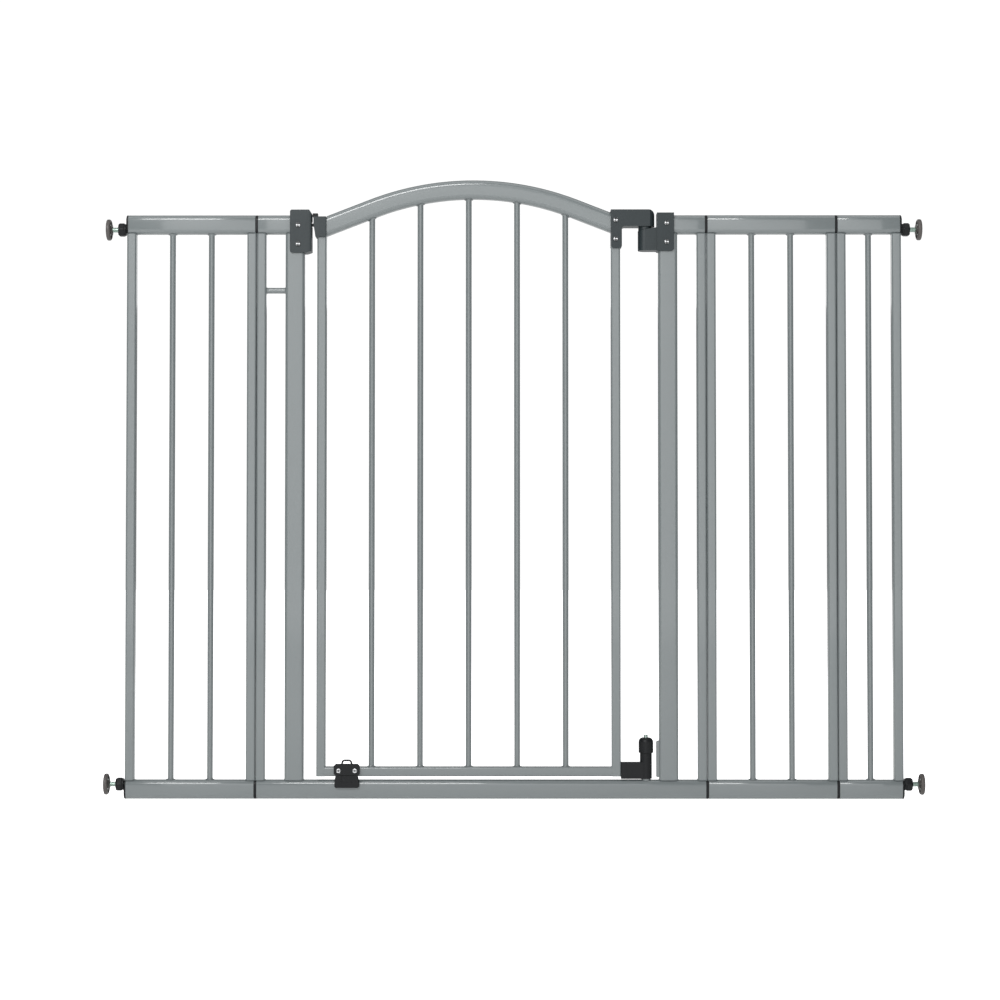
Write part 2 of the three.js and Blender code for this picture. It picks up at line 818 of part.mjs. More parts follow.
function hingeKnuckle() {
  const left = rightPostInner - 2;
  const right = left + 26.6;
  const top = railHeight + knuckleRise;
  const low = top - knuckleTall;
  const plate = outline([
    [left, low], [right - 3, low], [right, low + 3], [right, top], [left, top],
  ]);
  const barrel = join([
    rod("z", [hingeX, 0, 0], barrelBottom, armBottom, barrelRadius),
    box(hingeX, left + ahead, -barrelRadius, barrelRadius, barrelBottom, armBottom),
  ]);
  const cover = cut(housing(plate), [
    box(rightPostInner - touch, right + ahead, -coverCavity, coverCavity,
      low - ahead, railHeight + touch),
  ]);
  const shape = cut(join([cover, cut(barrel, [aboveCam(0)])]), [
    rod("z", [hingeX, 0, 0], barrelBottom + 4, armBottom + ahead, pinDiameter / 2 + pinPlay),
    screwHole(knuckleScrewX, knuckleScrewTop),
    screwHole(knuckleScrewX, knuckleScrewTop - screwPitch),
  ]);
  return piece("hinge_knuckle", shape, slatePlastic);
}

function topHingePin() {
  const shape = rod("z", [hingeX, 0, 0], barrelBottom + 5, armTop - 6, pinDiameter / 2);
  return piece("top_hinge_pin", shape, zincSteel);
}

// ---- Hinge side, bottom ----

function bottomBracket() {
  const left = doorRight + touch;
  const shape = join([
    box(left, hingeX - 4, -8.5, 8.5, bracketBottom, bracketTop),
    rod("z", [hingeX, 0, 0], bracketBottom, sleeveTop, sleeveRadius),
    rod("x", [0, 0, bracketPegZ], left - 7, left + ahead, bracketPegRadius),
  ]);
  const bore = rod("z", [hingeX, 0, 0], 0, capTop, bottomPinDiameter / 2 + pinPlay);
  return piece("bottom_bracket", cut(shape, [bore]), blackPlastic);
}

// The domed cap over the closing spring, open below.
function springCap() {
  const low = capBottom;
  const dome = 8;
  const inside = capRadius - 2.2;
  const profile = [
    new THREE.Vector2(0, low),
    new THREE.Vector2(capRadius - 1, low),
    new THREE.Vector2(capRadius, low + 1),
  ];
  for (let i = 0; i <= 4; i++) {
    const angle = (i / 4) * (Math.PI / 2) * 0.8;
    const radius = capRadius - dome + dome * Math.cos(angle);
    profile.push(new THREE.Vector2(radius, capTop - dome + dome * Math.sin(angle)));
  }
  profile.push(new THREE.Vector2(0, capTop));
  const lathe = new THREE.LatheGeometry(profile, roundSides);
  lathe.rotateX(Math.PI / 2);
  lathe.translate(hingeX, 0, 0);
  const shape = cut(solid(lathe), [
    rod("z", [hingeX, 0, 0], low - ahead, capTop - 4, inside),
    rod("z", [hingeX, 0, 0], low - ahead, capTop + ahead, bottomPinDiameter / 2 + pinPlay),
  ]);
  return piece("spring_cap", shape, blackPlastic);
}

function bottomHingePin() {
  const radius = bottomPinDiameter / 2;
  const shape = join([
    rod("z", [hingeX, 0, 0], railTall / 2 + ahead, capTop + 2, radius),
    rod("z", [hingeX, 0, 0], capTop + ahead, capTop + 3.4, radius, radius - 1.2),
  ]);
  return piece("bottom_hinge_pin", shape, zincSteel);
}

function closingSpring() {
  const turns = 7;
  const low = sleeveTop + 1.5;
  const length = turns * (springWire + 0.6);
  const made = piece("closing_spring", coilSpring(springRadius, springWire, turns, length),
    springSteel);
  made.position.set(hingeX, 0, low + springWire / 2);
  return made;
}

// ---- Stop, bottom left ----

function stopHousing() {
  const half = stopHalfWide;
  const width = stopPlateWide / 2 + touch;
  const shellShape = outline([
    [stopX - half + 2, stopLow], [stopX + half - 2, stopLow], [stopX + half, stopLow + 2],
    [stopX + half, stopHigh - 3], [stopX + half - 3, stopHigh], [stopX - half + 3, stopHigh],
    [stopX - half, stopHigh - 3], [stopX - half, stopLow + 2],
  ]);
  const shell = solid(extrude(shellShape, alongFront, -stopPlateBack, -stopShellFront));
  const shape = cut(shell, [
    box(stopX - width, stopX + width, stopPlateFront - touch, 0, stopLow - ahead, stopHigh + ahead),
    screwHole(stopX - stopScrewReach, stopScrewZ),
    screwHole(stopX + stopScrewReach, stopScrewZ),
  ]);
  return piece("stop_housing", shape, blackPlastic);
}

// The window in the slide: its lower edge pushes the spring up under the housing's front.
const stopWindowLow = stopLow + 1.5;
const stopSpringLow = stopWindowLow + stopTravel + touch;
const stopSpringTall = 4.6;

function stopSlide() {
  const front = stopPlateFront;
  const back = stopPlateBack - touch;
  const loopTop = stopLow + 24.3;
  const half = stopPlateWide / 2;
  const plateLow = stopLow + 0.5;
  const tongueLow = railTall + 1.2;
  const shape = cut(
    join([
      box(stopX - half, stopX + half, front, back, plateLow, loopTop - 2),
      box(stopX - half + 2, stopX + half - 2, front, back, loopTop - 3, loopTop),
      box(stopX - 2.9, stopX + 2.9, front, back, tongueLow, plateLow + ahead),
    ]),
    [
      box(stopX - 6.7, stopX + 6.7, front - ahead, back + ahead, loopTop - 6.6, loopTop - 2.1),
      box(stopX - 4, stopX + 4, front - ahead, back + ahead,
        stopWindowLow, stopSpringLow + stopSpringTall + touch),
    ],
  );
  return piece("stop_slide", shape, blackPlastic);
}

function stopSpring() {
  const wire = 0.5;
  const length = stopSpringTall - wire;
  const made = piece("stop_spring", coilSpring(0.7, wire, 4, length), springSteel);
  made.position.set(stopX, stopPlateFront + stopPlateThick / 2, stopSpringLow + wire / 2);
  return made;
}

function stopCatch() {
  const low = railTall - catchDrop;
  const half = catchHalfWide;
  const lipTop = doorBottom - 1.5;
  const back = -railDeep / 2 - touch;
  const lipBack = Math.min(stopPlateFront - touch, back - 2);
  const front = lipBack - stopShellThick;
  const skirt = outline([
    [stopX - half + 2, low], [stopX + half - 2, low], [stopX + half, low + 2],
    [stopX + half, lipTop], [stopX - half, lipTop], [stopX - half, low + 2],
  ]);
  const whole = solid(extrude(skirt, alongFront, -back, -front));
  const shape = join([
    cut(whole, [
      box(stopX - half - ahead, stopX + half + ahead, lipBack, 0,
        railTall + touch, lipTop + ahead),
      box(stopX - 8.5, stopX + 8.5, front - ahead, front + ahead,
        railTall - 3.7, lipTop + ahead),
    ]),
    rod("y", [stopX, 0, bottomRailMiddle + 6], back - ahead, back + 5, 2.5),
  ]);
  return piece("stop_catch", shape, blackPlastic);
}

// ---- Assembly ----

const extensions = [
  group([extensionFrame("left_extension", wideWidth)], leftEnd),
  group([extensionFrame("right_extension_wide", wideWidth)], rightSeam),
  group([extensionFrame("right_extension_narrow", narrowWidth)], narrowSeam),
];

const seams = [
  ["left", leftSeam],
  ["right", rightSeam],
  ["narrow", narrowSeam],
];
const connectors = seams.flatMap(([side, x]) => [
  connector("connector_" + side + "_top", x, topRailMiddle),
  connector("connector_" + side + "_bottom", x, bottomRailMiddle),
]);

const wallFixings = [
  wallFixing("left_top", leftEnd, topRailMiddle, topSpindleZ, 0),
  wallFixing("left_bottom", leftEnd, bottomRailMiddle, bottomSpindleZ, 0),
  wallFixing("right_top", rightEnd, topRailMiddle, topSpindleZ, Math.PI),
  wallFixing("right_bottom", rightEnd, bottomRailMiddle, bottomSpindleZ, Math.PI),
];

const latch = [
  strikeHousing(),
  screw("strike_screw_top", strikeScrewX, housingFront, strikeScrewTop, darkScrew),
  screw("strike_screw_bottom", strikeScrewX, housingFront,
    strikeScrewTop - screwPitch, darkScrew),
  latchHead(),
  latchSlide(),
  latchSpring(),
];

const hinge = [
  hingeArm(),
  screw("arm_screw_top", armScrewX, housingFront, armScrewTop, darkScrew),
  screw("arm_screw_bottom", armScrewX, housingFront, armScrewTop - screwPitch, darkScrew),
  topHingePin(),
  hingeKnuckle(),
  screw("knuckle_screw_top", knuckleScrewX, housingFront, knuckleScrewTop, darkScrew),
  screw("knuckle_screw_bottom", knuckleScrewX, housingFront,
    knuckleScrewTop - screwPitch, darkScrew),
  bottomBracket(),
  springCap(),
  bottomHingePin(),
  closingSpring(),
];

const stop = [
  stopHousing(),
  stopSlide(),
  stopSpring(),
  screw("stop_screw_left", stopX - stopScrewReach, stopShellFront, stopScrewZ, screwSteel),
  screw("stop_screw_right", stopX + stopScrewReach, stopShellFront, stopScrewZ, screwSteel),
  stopCatch(),
];

export default group([
  ...extensions,
  mainFrame(),
  doorFrame(),
  ...connectors,
  ...wallFixings,
  ...latch,
  ...hinge,
  ...stop,
]);
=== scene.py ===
import bmesh
import bpy
from contextlib import contextmanager
from math import ceil, cos, pi, radians, sin, sqrt, tan
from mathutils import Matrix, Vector


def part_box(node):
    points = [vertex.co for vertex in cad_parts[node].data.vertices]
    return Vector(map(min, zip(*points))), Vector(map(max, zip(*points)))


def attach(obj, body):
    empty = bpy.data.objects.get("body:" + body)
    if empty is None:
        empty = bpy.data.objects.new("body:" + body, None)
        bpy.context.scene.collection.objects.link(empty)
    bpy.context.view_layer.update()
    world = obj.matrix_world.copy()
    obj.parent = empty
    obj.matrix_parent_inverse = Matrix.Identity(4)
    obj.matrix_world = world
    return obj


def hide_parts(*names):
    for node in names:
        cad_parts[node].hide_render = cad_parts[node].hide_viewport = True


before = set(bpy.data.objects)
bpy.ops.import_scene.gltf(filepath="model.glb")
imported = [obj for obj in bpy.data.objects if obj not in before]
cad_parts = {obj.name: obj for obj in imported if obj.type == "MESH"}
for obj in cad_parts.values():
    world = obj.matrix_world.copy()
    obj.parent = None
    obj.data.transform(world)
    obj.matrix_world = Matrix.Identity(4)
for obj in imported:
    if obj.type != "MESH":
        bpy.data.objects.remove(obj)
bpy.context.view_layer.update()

# ---- Sizes of the stock ----

RAIL_TALL = 0.030
RAIL_DEEP = 0.020
RAIL_RADIUS = 0.008
TUBE_WALL = 0.0012
POST_WIDE = 0.0145
POST_DEEP = 0.018
POST_RADIUS = 0.003
WIDE_POST_WIDE = 0.030
WIDE_POST_DEEP = 0.019
WIDE_POST_RADIUS = 0.005
BAR_RADIUS = 0.0046
BAR_MAX_GAP = 0.067
FLARE_RADIUS = 0.0062
FLARE_TALL = 0.0026
BEAD_RADIUS = 0.0008
RAIL_SETBACK = 0.0018  # a rail's end behind the outer face of its post
SIDE_BAY = 0.045  # seam to the wide post
SEAM_GAP = 0.0003
ARCH_SLOPE = radians(21.2)
ARCH_FALL = 0.0562
DOOR_RAIL_TALL = 0.015
DOOR_RAIL_RADIUS = 0.003
BRACE_DROP = 0.118
THREAD_PITCH = 0.00125
THREAD_DEPTH = 0.0006
THREAD_RADIUS = 0.004
THREAD_BORE = 0.0043  # radius of the holes that the threaded rods run in
PIN_BORE = 0.0034
SCREW_HEAD = 0.0038
SCREW_HEAD_DEEP = 0.0019
TOUCH = 0.0003

ROUND = 48  # sides of a round piece
CORNER = 8  # segments of a tube's corner
PAST = 0.01  # how far a cutter runs past the piece it cuts
MERGE = 0.00001  # points closer than this become one


# ---- Working on one piece at a time ----


def clear_selection():
    bpy.ops.object.select_all(action="DESELECT")


def only(piece):
    clear_selection()
    piece.select_set(True)
    bpy.context.view_layer.objects.active = piece


def settled(name):
    """Names the piece that was just added and puts its place into its mesh."""
    piece = bpy.context.active_object
    piece.name = name
    piece.data.name = name
    bpy.ops.object.transform_apply(location=True, rotation=True, scale=True)
    return piece


@contextmanager
def editing(piece):
    only(piece)
    bpy.ops.object.mode_set(mode="EDIT")
    bpy.ops.mesh.select_all(action="DESELECT")
    yield piece
    bpy.ops.object.mode_set(mode="OBJECT")


def pick(piece, kind, test):
    """Selects only the vertices, edges or faces that pass the test."""
    bpy.ops.mesh.select_mode(type=kind)
    bpy.ops.mesh.select_all(action="DESELECT")
    mesh = bmesh.from_edit_mesh(piece.data)
    mesh.normal_update()
    parts = {"VERT": mesh.verts, "EDGE": mesh.edges, "FACE": mesh.faces}[kind]
    for part in parts:
        if test(part):
            part.select_set(True)
    mesh.select_flush_mode()
    bmesh.update_edit_mesh(piece.data)


def middle(part):
    """The middle of a face or an edge."""
    return sum((v.co for v in part.verts), Vector()) / len(part.verts)


def runs_along(edge, axis):
    direction = edge.verts[1].co - edge.verts[0].co
    return abs(direction["xyz".index(axis)]) > 0.99 * direction.length


def near(a, b, slack=0.0002):
    return abs(a - b) < slack


def looks(face, axis, sign):
    return sign * face.normal["xyz".index(axis)] > 0.99


def pick_end(piece, axis, sign):
    """Selects the flat end faces that look along an axis at the piece's far end."""
    i = "xyz".index(axis)
    end = max(sign * v.co[i] for v in bmesh.from_edit_mesh(piece.data).verts)
    pick(
        piece, "FACE",
        lambda f: looks(f, axis, sign) and near(sign * middle(f)[i], end),
    )


def extrude(move, scale=(1, 1, 1), centre=(0, 0, 0)):
    """Extrudes the selected faces by a move, then scales them about a centre."""
    bpy.ops.mesh.extrude_region()
    bpy.ops.transform.translate(value=move)
    if tuple(scale) != (1, 1, 1):
        bpy.ops.transform.resize(value=scale, center_override=centre)


def bevel(width, segments=2, affect="EDGES", profile=0.5):
    bpy.ops.mesh.bevel(
        offset=width, segments=segments, affect=affect, profile=profile, clamp_overlap=True,
    )


def round_corners(piece, axis, radius, segments=CORNER, test=lambda edge: True):
    """Rounds the edges that run along an axis."""
    with editing(piece):
        pick(piece, "EDGE", lambda e: runs_along(e, axis) and test(e))
        bevel(radius, segments)


def smooth(piece, angle=35):
    only(piece)
    bpy.ops.object.shade_smooth_by_angle(angle=radians(angle))
    return piece


def apply_modifier(piece, kind, **values):
    only(piece)
    modifier = piece.modifiers.new(kind.title(), kind)
    for key, value in values.items():
        setattr(modifier, key, value)
    bpy.ops.object.modifier_apply(modifier=modifier.name)
    return piece


def soften(piece, width, segments=3, angle=30):
    """Rounds every sharp edge a little, as a mould or a press does."""
    apply_modifier(
        piece, "BEVEL", width=width, segments=segments, limit_method="ANGLE",
        angle_limit=radians(angle), harden_normals=False, miter_outer="MITER_ARC",
    )
    smooth(piece, 40)
    return apply_modifier(piece, "WEIGHTED_NORMAL", keep_sharp=True, weight=80)


def cut_away(piece, cutter):
    """Cuts one piece out of another and removes the cutter."""
    apply_modifier(piece, "BOOLEAN", object=cutter, operation="DIFFERENCE", solver="EXACT")
    bpy.data.objects.remove(cutter)
    return piece


def joined(name, pieces):
    clear_selection()
    for piece in pieces:
        piece.select_set(True)
    bpy.context.view_layer.objects.active = pieces[0]
    bpy.ops.object.join()
    return settled(name)


def copied(piece, name, move):
    """A copy with its own mesh, moved to its place."""
    only(piece)
    bpy.ops.object.duplicate()
    bpy.ops.transform.translate(value=move)
    return settled(name)


# ---- Starting shapes ----


def add_block(name, low, high):
    clear_selection()
    place = [(a + b) / 2 for a, b in zip(low, high)]
    size = [b - a for a, b in zip(low, high)]
    bpy.ops.mesh.primitive_cube_add(size=1, location=place, scale=size)
    return settled(name)


TURN = {"x": (0, pi / 2, 0), "y": (-pi / 2, 0, 0), "z": (0, 0, 0)}


def add_rod(name, axis, centre, start, end, radius, sides=ROUND):
    """A round rod along an axis, from start to end on that axis."""
    clear_selection()
    place = list(centre)
    place["xyz".index(axis)] = (start + end) / 2
    bpy.ops.mesh.primitive_cylinder_add(
        vertices=sides, radius=radius, depth=end - start, location=place, rotation=TURN[axis],
    )
    return settled(name)


def copy_of_node(node, name):
    """A clean copy of a frame node, merged and with its flat faces whole, to be finished."""
    clear_selection()
    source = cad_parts[node]
    piece = bpy.data.objects.new(name, source.data.copy())
    bpy.context.scene.collection.objects.link(piece)
    piece.data.name = name
    piece.data.materials.clear()
    with editing(piece):
        bpy.ops.mesh.select_all(action="SELECT")
        bpy.ops.mesh.customdata_custom_splitnormals_clear()
        bpy.ops.mesh.remove_doubles(threshold=MERGE)
        bpy.ops.mesh.dissolve_limited(angle_limit=radians(2))
    return piece


# ---- Finishes ----


def socket(group, name, kind, direction, value=None):
    made = group.interface.new_socket(name=name, in_out=direction, socket_type=kind)
    if value is not None:
        made.default_value = value
    return made


def node_maker(tree):
    def make(kind, **values):
        node = tree.nodes.new(kind)
        for key, value in values.items():
            setattr(node, key, value)
        return node

    return make


def surface_variation():
    """Darkens and lightens a colour in soft patches."""
    group = bpy.data.node_groups.new("surface_variation", "ShaderNodeTree")
    socket(group, "Color", "NodeSocketColor", "INPUT", (0.5, 0.5, 0.5, 1))
    socket(group, "Patch Scale", "NodeSocketFloat", "INPUT", 12.0)
    socket(group, "Patch Depth", "NodeSocketFloat", "INPUT", 0.06)
    socket(group, "Color", "NodeSocketColor", "OUTPUT")
    make, link = node_maker(group), group.links.new
    source, result = make("NodeGroupInput"), make("NodeGroupOutput")
    place = make("ShaderNodeTexCoord")
    noise = make("ShaderNodeTexNoise")
    noise.inputs["Detail"].default_value = 4
    link(place.outputs["Object"], noise.inputs["Vector"])
    link(source.outputs["Patch Scale"], noise.inputs["Scale"])
    centred = make("ShaderNodeMath", operation="SUBTRACT")
    link(noise.outputs["Fac"], centred.inputs[0])
    centred.inputs[1].default_value = 0.5
    drift = make("ShaderNodeMath", operation="MULTIPLY")
    link(centred.outputs[0], drift.inputs[0])
    link(source.outputs["Patch Depth"], drift.inputs[1])
    gain = make("ShaderNodeMath", operation="ADD")
    gain.inputs[1].default_value = 1.0
    link(drift.outputs[0], gain.inputs[0])
    tinted = make("ShaderNodeVectorMath", operation="SCALE")
    link(source.outputs["Color"], tinted.inputs[0])
    link(gain.outputs[0], tinted.inputs["Scale"])
    link(tinted.outputs[0], result.inputs["Color"])
    return group


def surface_grain():
    """A height for a Bump node: broad waviness with fine grain over it."""
    group = bpy.data.node_groups.new("surface_grain", "ShaderNodeTree")
    socket(group, "Wave Scale", "NodeSocketFloat", "INPUT", 300.0)
    socket(group, "Grain Scale", "NodeSocketFloat", "INPUT", 3000.0)
    socket(group, "Grain Share", "NodeSocketFloat", "INPUT", 0.3)
    socket(group, "Height", "NodeSocketFloat", "OUTPUT")
    make, link = node_maker(group), group.links.new
    source, result = make("NodeGroupInput"), make("NodeGroupOutput")
    place = make("ShaderNodeTexCoord")
    wave, grain = make("ShaderNodeTexNoise"), make("ShaderNodeTexNoise")
    wave.inputs["Detail"].default_value = 2
    for texture, scale in ((wave, "Wave Scale"), (grain, "Grain Scale")):
        link(place.outputs["Object"], texture.inputs["Vector"])
        link(source.outputs[scale], texture.inputs["Scale"])
    mixed = make("ShaderNodeMix", data_type="FLOAT")
    link(source.outputs["Grain Share"], mixed.inputs["Factor"])
    link(wave.outputs["Fac"], mixed.inputs["A"])
    link(grain.outputs["Fac"], mixed.inputs["B"])
    link(mixed.outputs["Result"], result.inputs["Height"])
    return group


def roughness_patches():
    """Roughness that changes softly over the surface."""
    group = bpy.data.node_groups.new("roughness_patches", "ShaderNodeTree")
    socket(group, "Scale", "NodeSocketFloat", "INPUT", 20.0)
    socket(group, "Low", "NodeSocketFloat", "INPUT", 0.3)
    socket(group, "High", "NodeSocketFloat", "INPUT", 0.4)
    socket(group, "Roughness", "NodeSocketFloat", "OUTPUT")
    make, link = node_maker(group), group.links.new
    source, result = make("NodeGroupInput"), make("NodeGroupOutput")
    place, noise = make("ShaderNodeTexCoord"), make("ShaderNodeTexNoise")
    noise.inputs["Detail"].default_value = 3
    link(place.outputs["Object"], noise.inputs["Vector"])
    link(source.outputs["Scale"], noise.inputs["Scale"])
    spread = make("ShaderNodeMapRange")
    link(noise.outputs["Fac"], spread.inputs["Value"])
    spread.inputs["From Min"].default_value = 0.3
    spread.inputs["From Max"].default_value = 0.7
    link(source.outputs["Low"], spread.inputs["To Min"])
    link(source.outputs["High"], spread.inputs["To Max"])
    link(spread.outputs["Result"], result.inputs["Roughness"])
    return group


VARIATION = surface_variation()
GRAIN = surface_grain()
PATCHES = roughness_patches()


def finish(name, color, roughness, patch=(12, 0.06), grain=(300, 3000, 0.3),
           bump=0.00002, metallic=0.0, specular=0.5, coat=0.0, coat_roughness=0.1, coat_ior=1.5):
    material = bpy.data.materials.new(name)
    material.use_nodes = True
    tree = material.node_tree
    shader = tree.nodes["Principled BSDF"]
    make, link = node_maker(tree), tree.links.new
    tint = make("ShaderNodeGroup", node_tree=VARIATION)
    tint.inputs["Color"].default_value = (*color, 1)
    tint.inputs["Patch Scale"].default_value = patch[0]
    tint.inputs["Patch Depth"].default_value = patch[1]
    link(tint.outputs["Color"], shader.inputs["Base Color"])
    dull = make("ShaderNodeGroup", node_tree=PATCHES)
    dull.inputs["Low"].default_value, dull.inputs["High"].default_value = roughness
    link(dull.outputs["Roughness"], shader.inputs["Roughness"])
    height = make("ShaderNodeGroup", node_tree=GRAIN)
    height.inputs["Wave Scale"].default_value = grain[0]
    height.inputs["Grain Scale"].default_value = grain[1]
    height.inputs["Grain Share"].default_value = grain[2]
    relief = make("ShaderNodeBump")
    relief.inputs["Distance"].default_value = bump
    link(height.outputs["Height"], relief.inputs["Height"])
    link(relief.outputs["Normal"], shader.inputs["Normal"])
    shader.inputs["Metallic"].default_value = metallic
    shader.inputs["Specular IOR Level"].default_value = specular
    shader.inputs["Coat Weight"].default_value = coat
    shader.inputs["Coat Roughness"].default_value = coat_roughness
    shader.inputs["Coat IOR"].default_value = coat_ior
    return material


FINISHES = {
    "grey_paint": finish(
        "grey_powder_coat", (0.171, 0.193, 0.196), (0.34, 0.38), (7, 0.04),
        (260, 2600, 0.2), 0.000012, coat=1.0, coat_roughness=0.10, coat_ior=1.6,
    ),
    "weld_paint": finish(
        "grey_powder_coat_on_welds", (0.125, 0.142, 0.146), (0.34, 0.5), (160, 0.5),
        (700, 2600, 0.4), 0.0004, coat=0.3, coat_roughness=0.2,
    ),
    "slate_plastic": finish(
        "slate_moulding", (0.0195, 0.028, 0.031), (0.36, 0.46), (30, 0.16),
        (1500, 5200, 0.6), 0.00004, specular=0.42,
    ),
    "black_plastic": finish(
        "black_moulding", (0.009, 0.010, 0.011), (0.32, 0.42), (30, 0.16),
        (1500, 5200, 0.6), 0.00004, specular=0.25,
    ),
    "pad_rubber": finish(
        "pad_rubber", (0.085, 0.076, 0.072), (0.30, 0.46), (60, 0.3),
        (900, 3200, 0.6), 0.00012,
    ),
    "zinc_steel": finish(
        "zinc_plate", (0.46, 0.56, 0.51), (0.22, 0.36), (120, 0.25),
        (800, 4000, 0.5), 0.00003, metallic=1.0,
    ),
    "screw_steel": finish(
        "bright_plate", (0.80, 0.81, 0.82), (0.16, 0.28), (200, 0.12),
        (1500, 5000, 0.5), 0.00002, metallic=1.0,
    ),
    "dark_screw": finish(
        "black_plate", (0.010, 0.011, 0.012), (0.10, 0.16), (200, 0.2),
        (1500, 5000, 0.5), 0.00002, coat=1.0, coat_roughness=0.05,
    ),
    "spring_steel": finish(
        "drawn_wire", (0.56, 0.57, 0.58), (0.2, 0.3), (200, 0.15),
        (1200, 5000, 0.5), 0.00002, metallic=1.0,
    ),
}


def give(piece, finish_name, body, *nodes):
    """Gives a finished piece its finish, its body and the nodes that it stands for."""
    piece.data.materials.clear()
    piece.data.materials.append(FINISHES[finish_name])
    return place(piece, finish_name, body, *nodes)


def place(piece, slot, body, *nodes):
    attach(piece, body)
    if nodes:
        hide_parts(*nodes)
    return piece


# ---- Places, taken from the frame ----

main_low, main_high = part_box("main_frame")
door_low, door_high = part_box("door_frame")
pin_low, pin_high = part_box("bottom_hinge_pin")
ARM_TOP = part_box("hinge_arm")[1].z
ARM_TALL = 0.026

FLOOR = main_low.z
RAIL_TOP = main_high.z
UPPER_RAIL = RAIL_TOP - RAIL_TALL / 2  # middle of the top rails
LOWER_RAIL = FLOOR + RAIL_TALL / 2
LOWER_SURFACE = FLOOR + RAIL_TALL  # where posts and bars meet the bottom rail
UPPER_SURFACE = RAIL_TOP - RAIL_TALL
DOOR_SURFACE = door_low.z + DOOR_RAIL_TALL
LEFT_POST_INNER = main_low.x - SEAM_GAP + SIDE_BAY + WIDE_POST_WIDE
RIGHT_POST_INNER = main_high.x + SEAM_GAP - SIDE_BAY - WIDE_POST_WIDE
HINGE_X = (pin_low.x + pin_high.x) / 2
DOOR_BAY_LEFT = door_low.x + POST_WIDE
DOOR_BAY_RIGHT = door_high.x - POST_WIDE
CROWN_X = (DOOR_BAY_LEFT + door_high.x) / 2
CROWN_Z = door_high.z
ARCH_SPAN = door_high.x - CROWN_X
ARCH_RADIUS = (ARCH_SPAN * tan(ARCH_SLOPE) - ARCH_FALL) * cos(ARCH_SLOPE) / (1 - cos(ARCH_SLOPE))
LATCH_POST_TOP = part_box("latch_head")[1].z - 0.0188
HINGE_POST_TOP = RAIL_TOP - 0.021
STOP_X = sum(v.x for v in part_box("stop_catch")) / 2


# ---- Tubes, bars and weld beads ----


def tube(name, axis, low, high, radius):
    piece = add_block(name, low, high)
    round_corners(piece, axis, radius)
    return piece


def hollow_tube(name, low, high, radius):
    """A tube along X with open ends and a real wall."""
    piece = tube(name, "x", low, high, radius)
    with editing(piece):
        pick(piece, "FACE", lambda f: abs(f.normal.x) > 0.99)
        bpy.ops.mesh.inset(thickness=TUBE_WALL, use_boundary=True)
        bpy.ops.mesh.bridge_edge_loops()
        pick(
            piece, "EDGE",
            lambda e: not runs_along(e, "x") and len(e.link_faces) == 2
            and max(abs(f.normal.x) for f in e.link_faces) > 0.99,
        )
        bevel(0.0003, 2)
    return smooth(piece)


def rail(left, right, height):
    low = (left, -RAIL_DEEP / 2, height - RAIL_TALL / 2)
    high = (right, RAIL_DEEP / 2, height + RAIL_TALL / 2)
    return hollow_tube("rail", low, high, RAIL_RADIUS)


def upright(left, right, deep, radius, bottom, top):
    piece = tube("upright", "z", (left, -deep / 2, bottom), (right, deep / 2, top), radius)
    return smooth(piece)


def frame_post(left, wide, deep, radius):
    """A post between the rails, with its ends drawn in by the weld before they go inside."""
    piece = upright(left, left + wide, deep, radius, LOWER_SURFACE, UPPER_SURFACE)
    middle_x = left + wide / 2
    with editing(piece):
        for sign in (-1, 1):
            pick_end(piece, "z", sign)
            extrude((0, 0, sign * 0.0006), (0.985, 0.9, 1), (middle_x, 0, 0))
            extrude((0, 0, sign * 0.0012), (0.97, 0.84, 1), (middle_x, 0, 0))
            extrude((0, 0, sign * 0.0050), (0.97, 0.80, 1), (middle_x, 0, 0))
    return smooth(piece)


def thin_post(left):
    return frame_post(left, POST_WIDE, POST_DEEP, POST_RADIUS)


def wide_post(left):
    return frame_post(left, WIDE_POST_WIDE, WIDE_POST_DEEP, WIDE_POST_RADIUS)


def flare(axis, sign, centre, steps=4):
    """Draws the selected end out into a hollow-sided collar, then on into the tube it meets."""
    spread = FLARE_RADIUS - BAR_RADIUS
    radius = BAR_RADIUS
    for step in range(1, steps + 1):
        wanted = BAR_RADIUS + spread * (1 - sqrt(1 - (step / steps) ** 2))
        move = [0.0, 0.0, 0.0]
        move["xyz".index(axis)] = sign * FLARE_TALL / steps
        scale = [wanted / radius] * 3
        scale["xyz".index(axis)] = 1
        extrude(move, scale, centre)
        radius = wanted
    move = [0.0, 0.0, 0.0]
    move["xyz".index(axis)] = sign * 0.004
    extrude(move)


def bar(axis, centre, low, high):
    """A round bar between two surfaces, flared where it meets them."""
    piece = add_rod("bar", axis, centre, low + FLARE_TALL, high - FLARE_TALL, BAR_RADIUS, 28)
    with editing(piece):
        for sign in (-1, 1):
            pick_end(piece, axis, sign)
            flare(axis, sign, centre)
    return smooth(piece)


def bar_places(left, right):
    """The middles of the bars that fill a bay, with no gap over the limit."""
    clear = right - left
    count = max(0, ceil((clear - BAR_MAX_GAP) / (BAR_MAX_GAP + 2 * BAR_RADIUS)))
    gap = (clear - count * 2 * BAR_RADIUS) / (count + 1)
    return [left + (i + 1) * gap + (2 * i + 1) * BAR_RADIUS for i in range(count)]


def rail_shoulder(y):
    """How far a rail's rounded top or bottom has turned away at a depth."""
    past = max(0.0, abs(y) - (RAIL_DEEP / 2 - RAIL_RADIUS))
    return RAIL_RADIUS - sqrt(max(0.0, RAIL_RADIUS**2 - past**2))


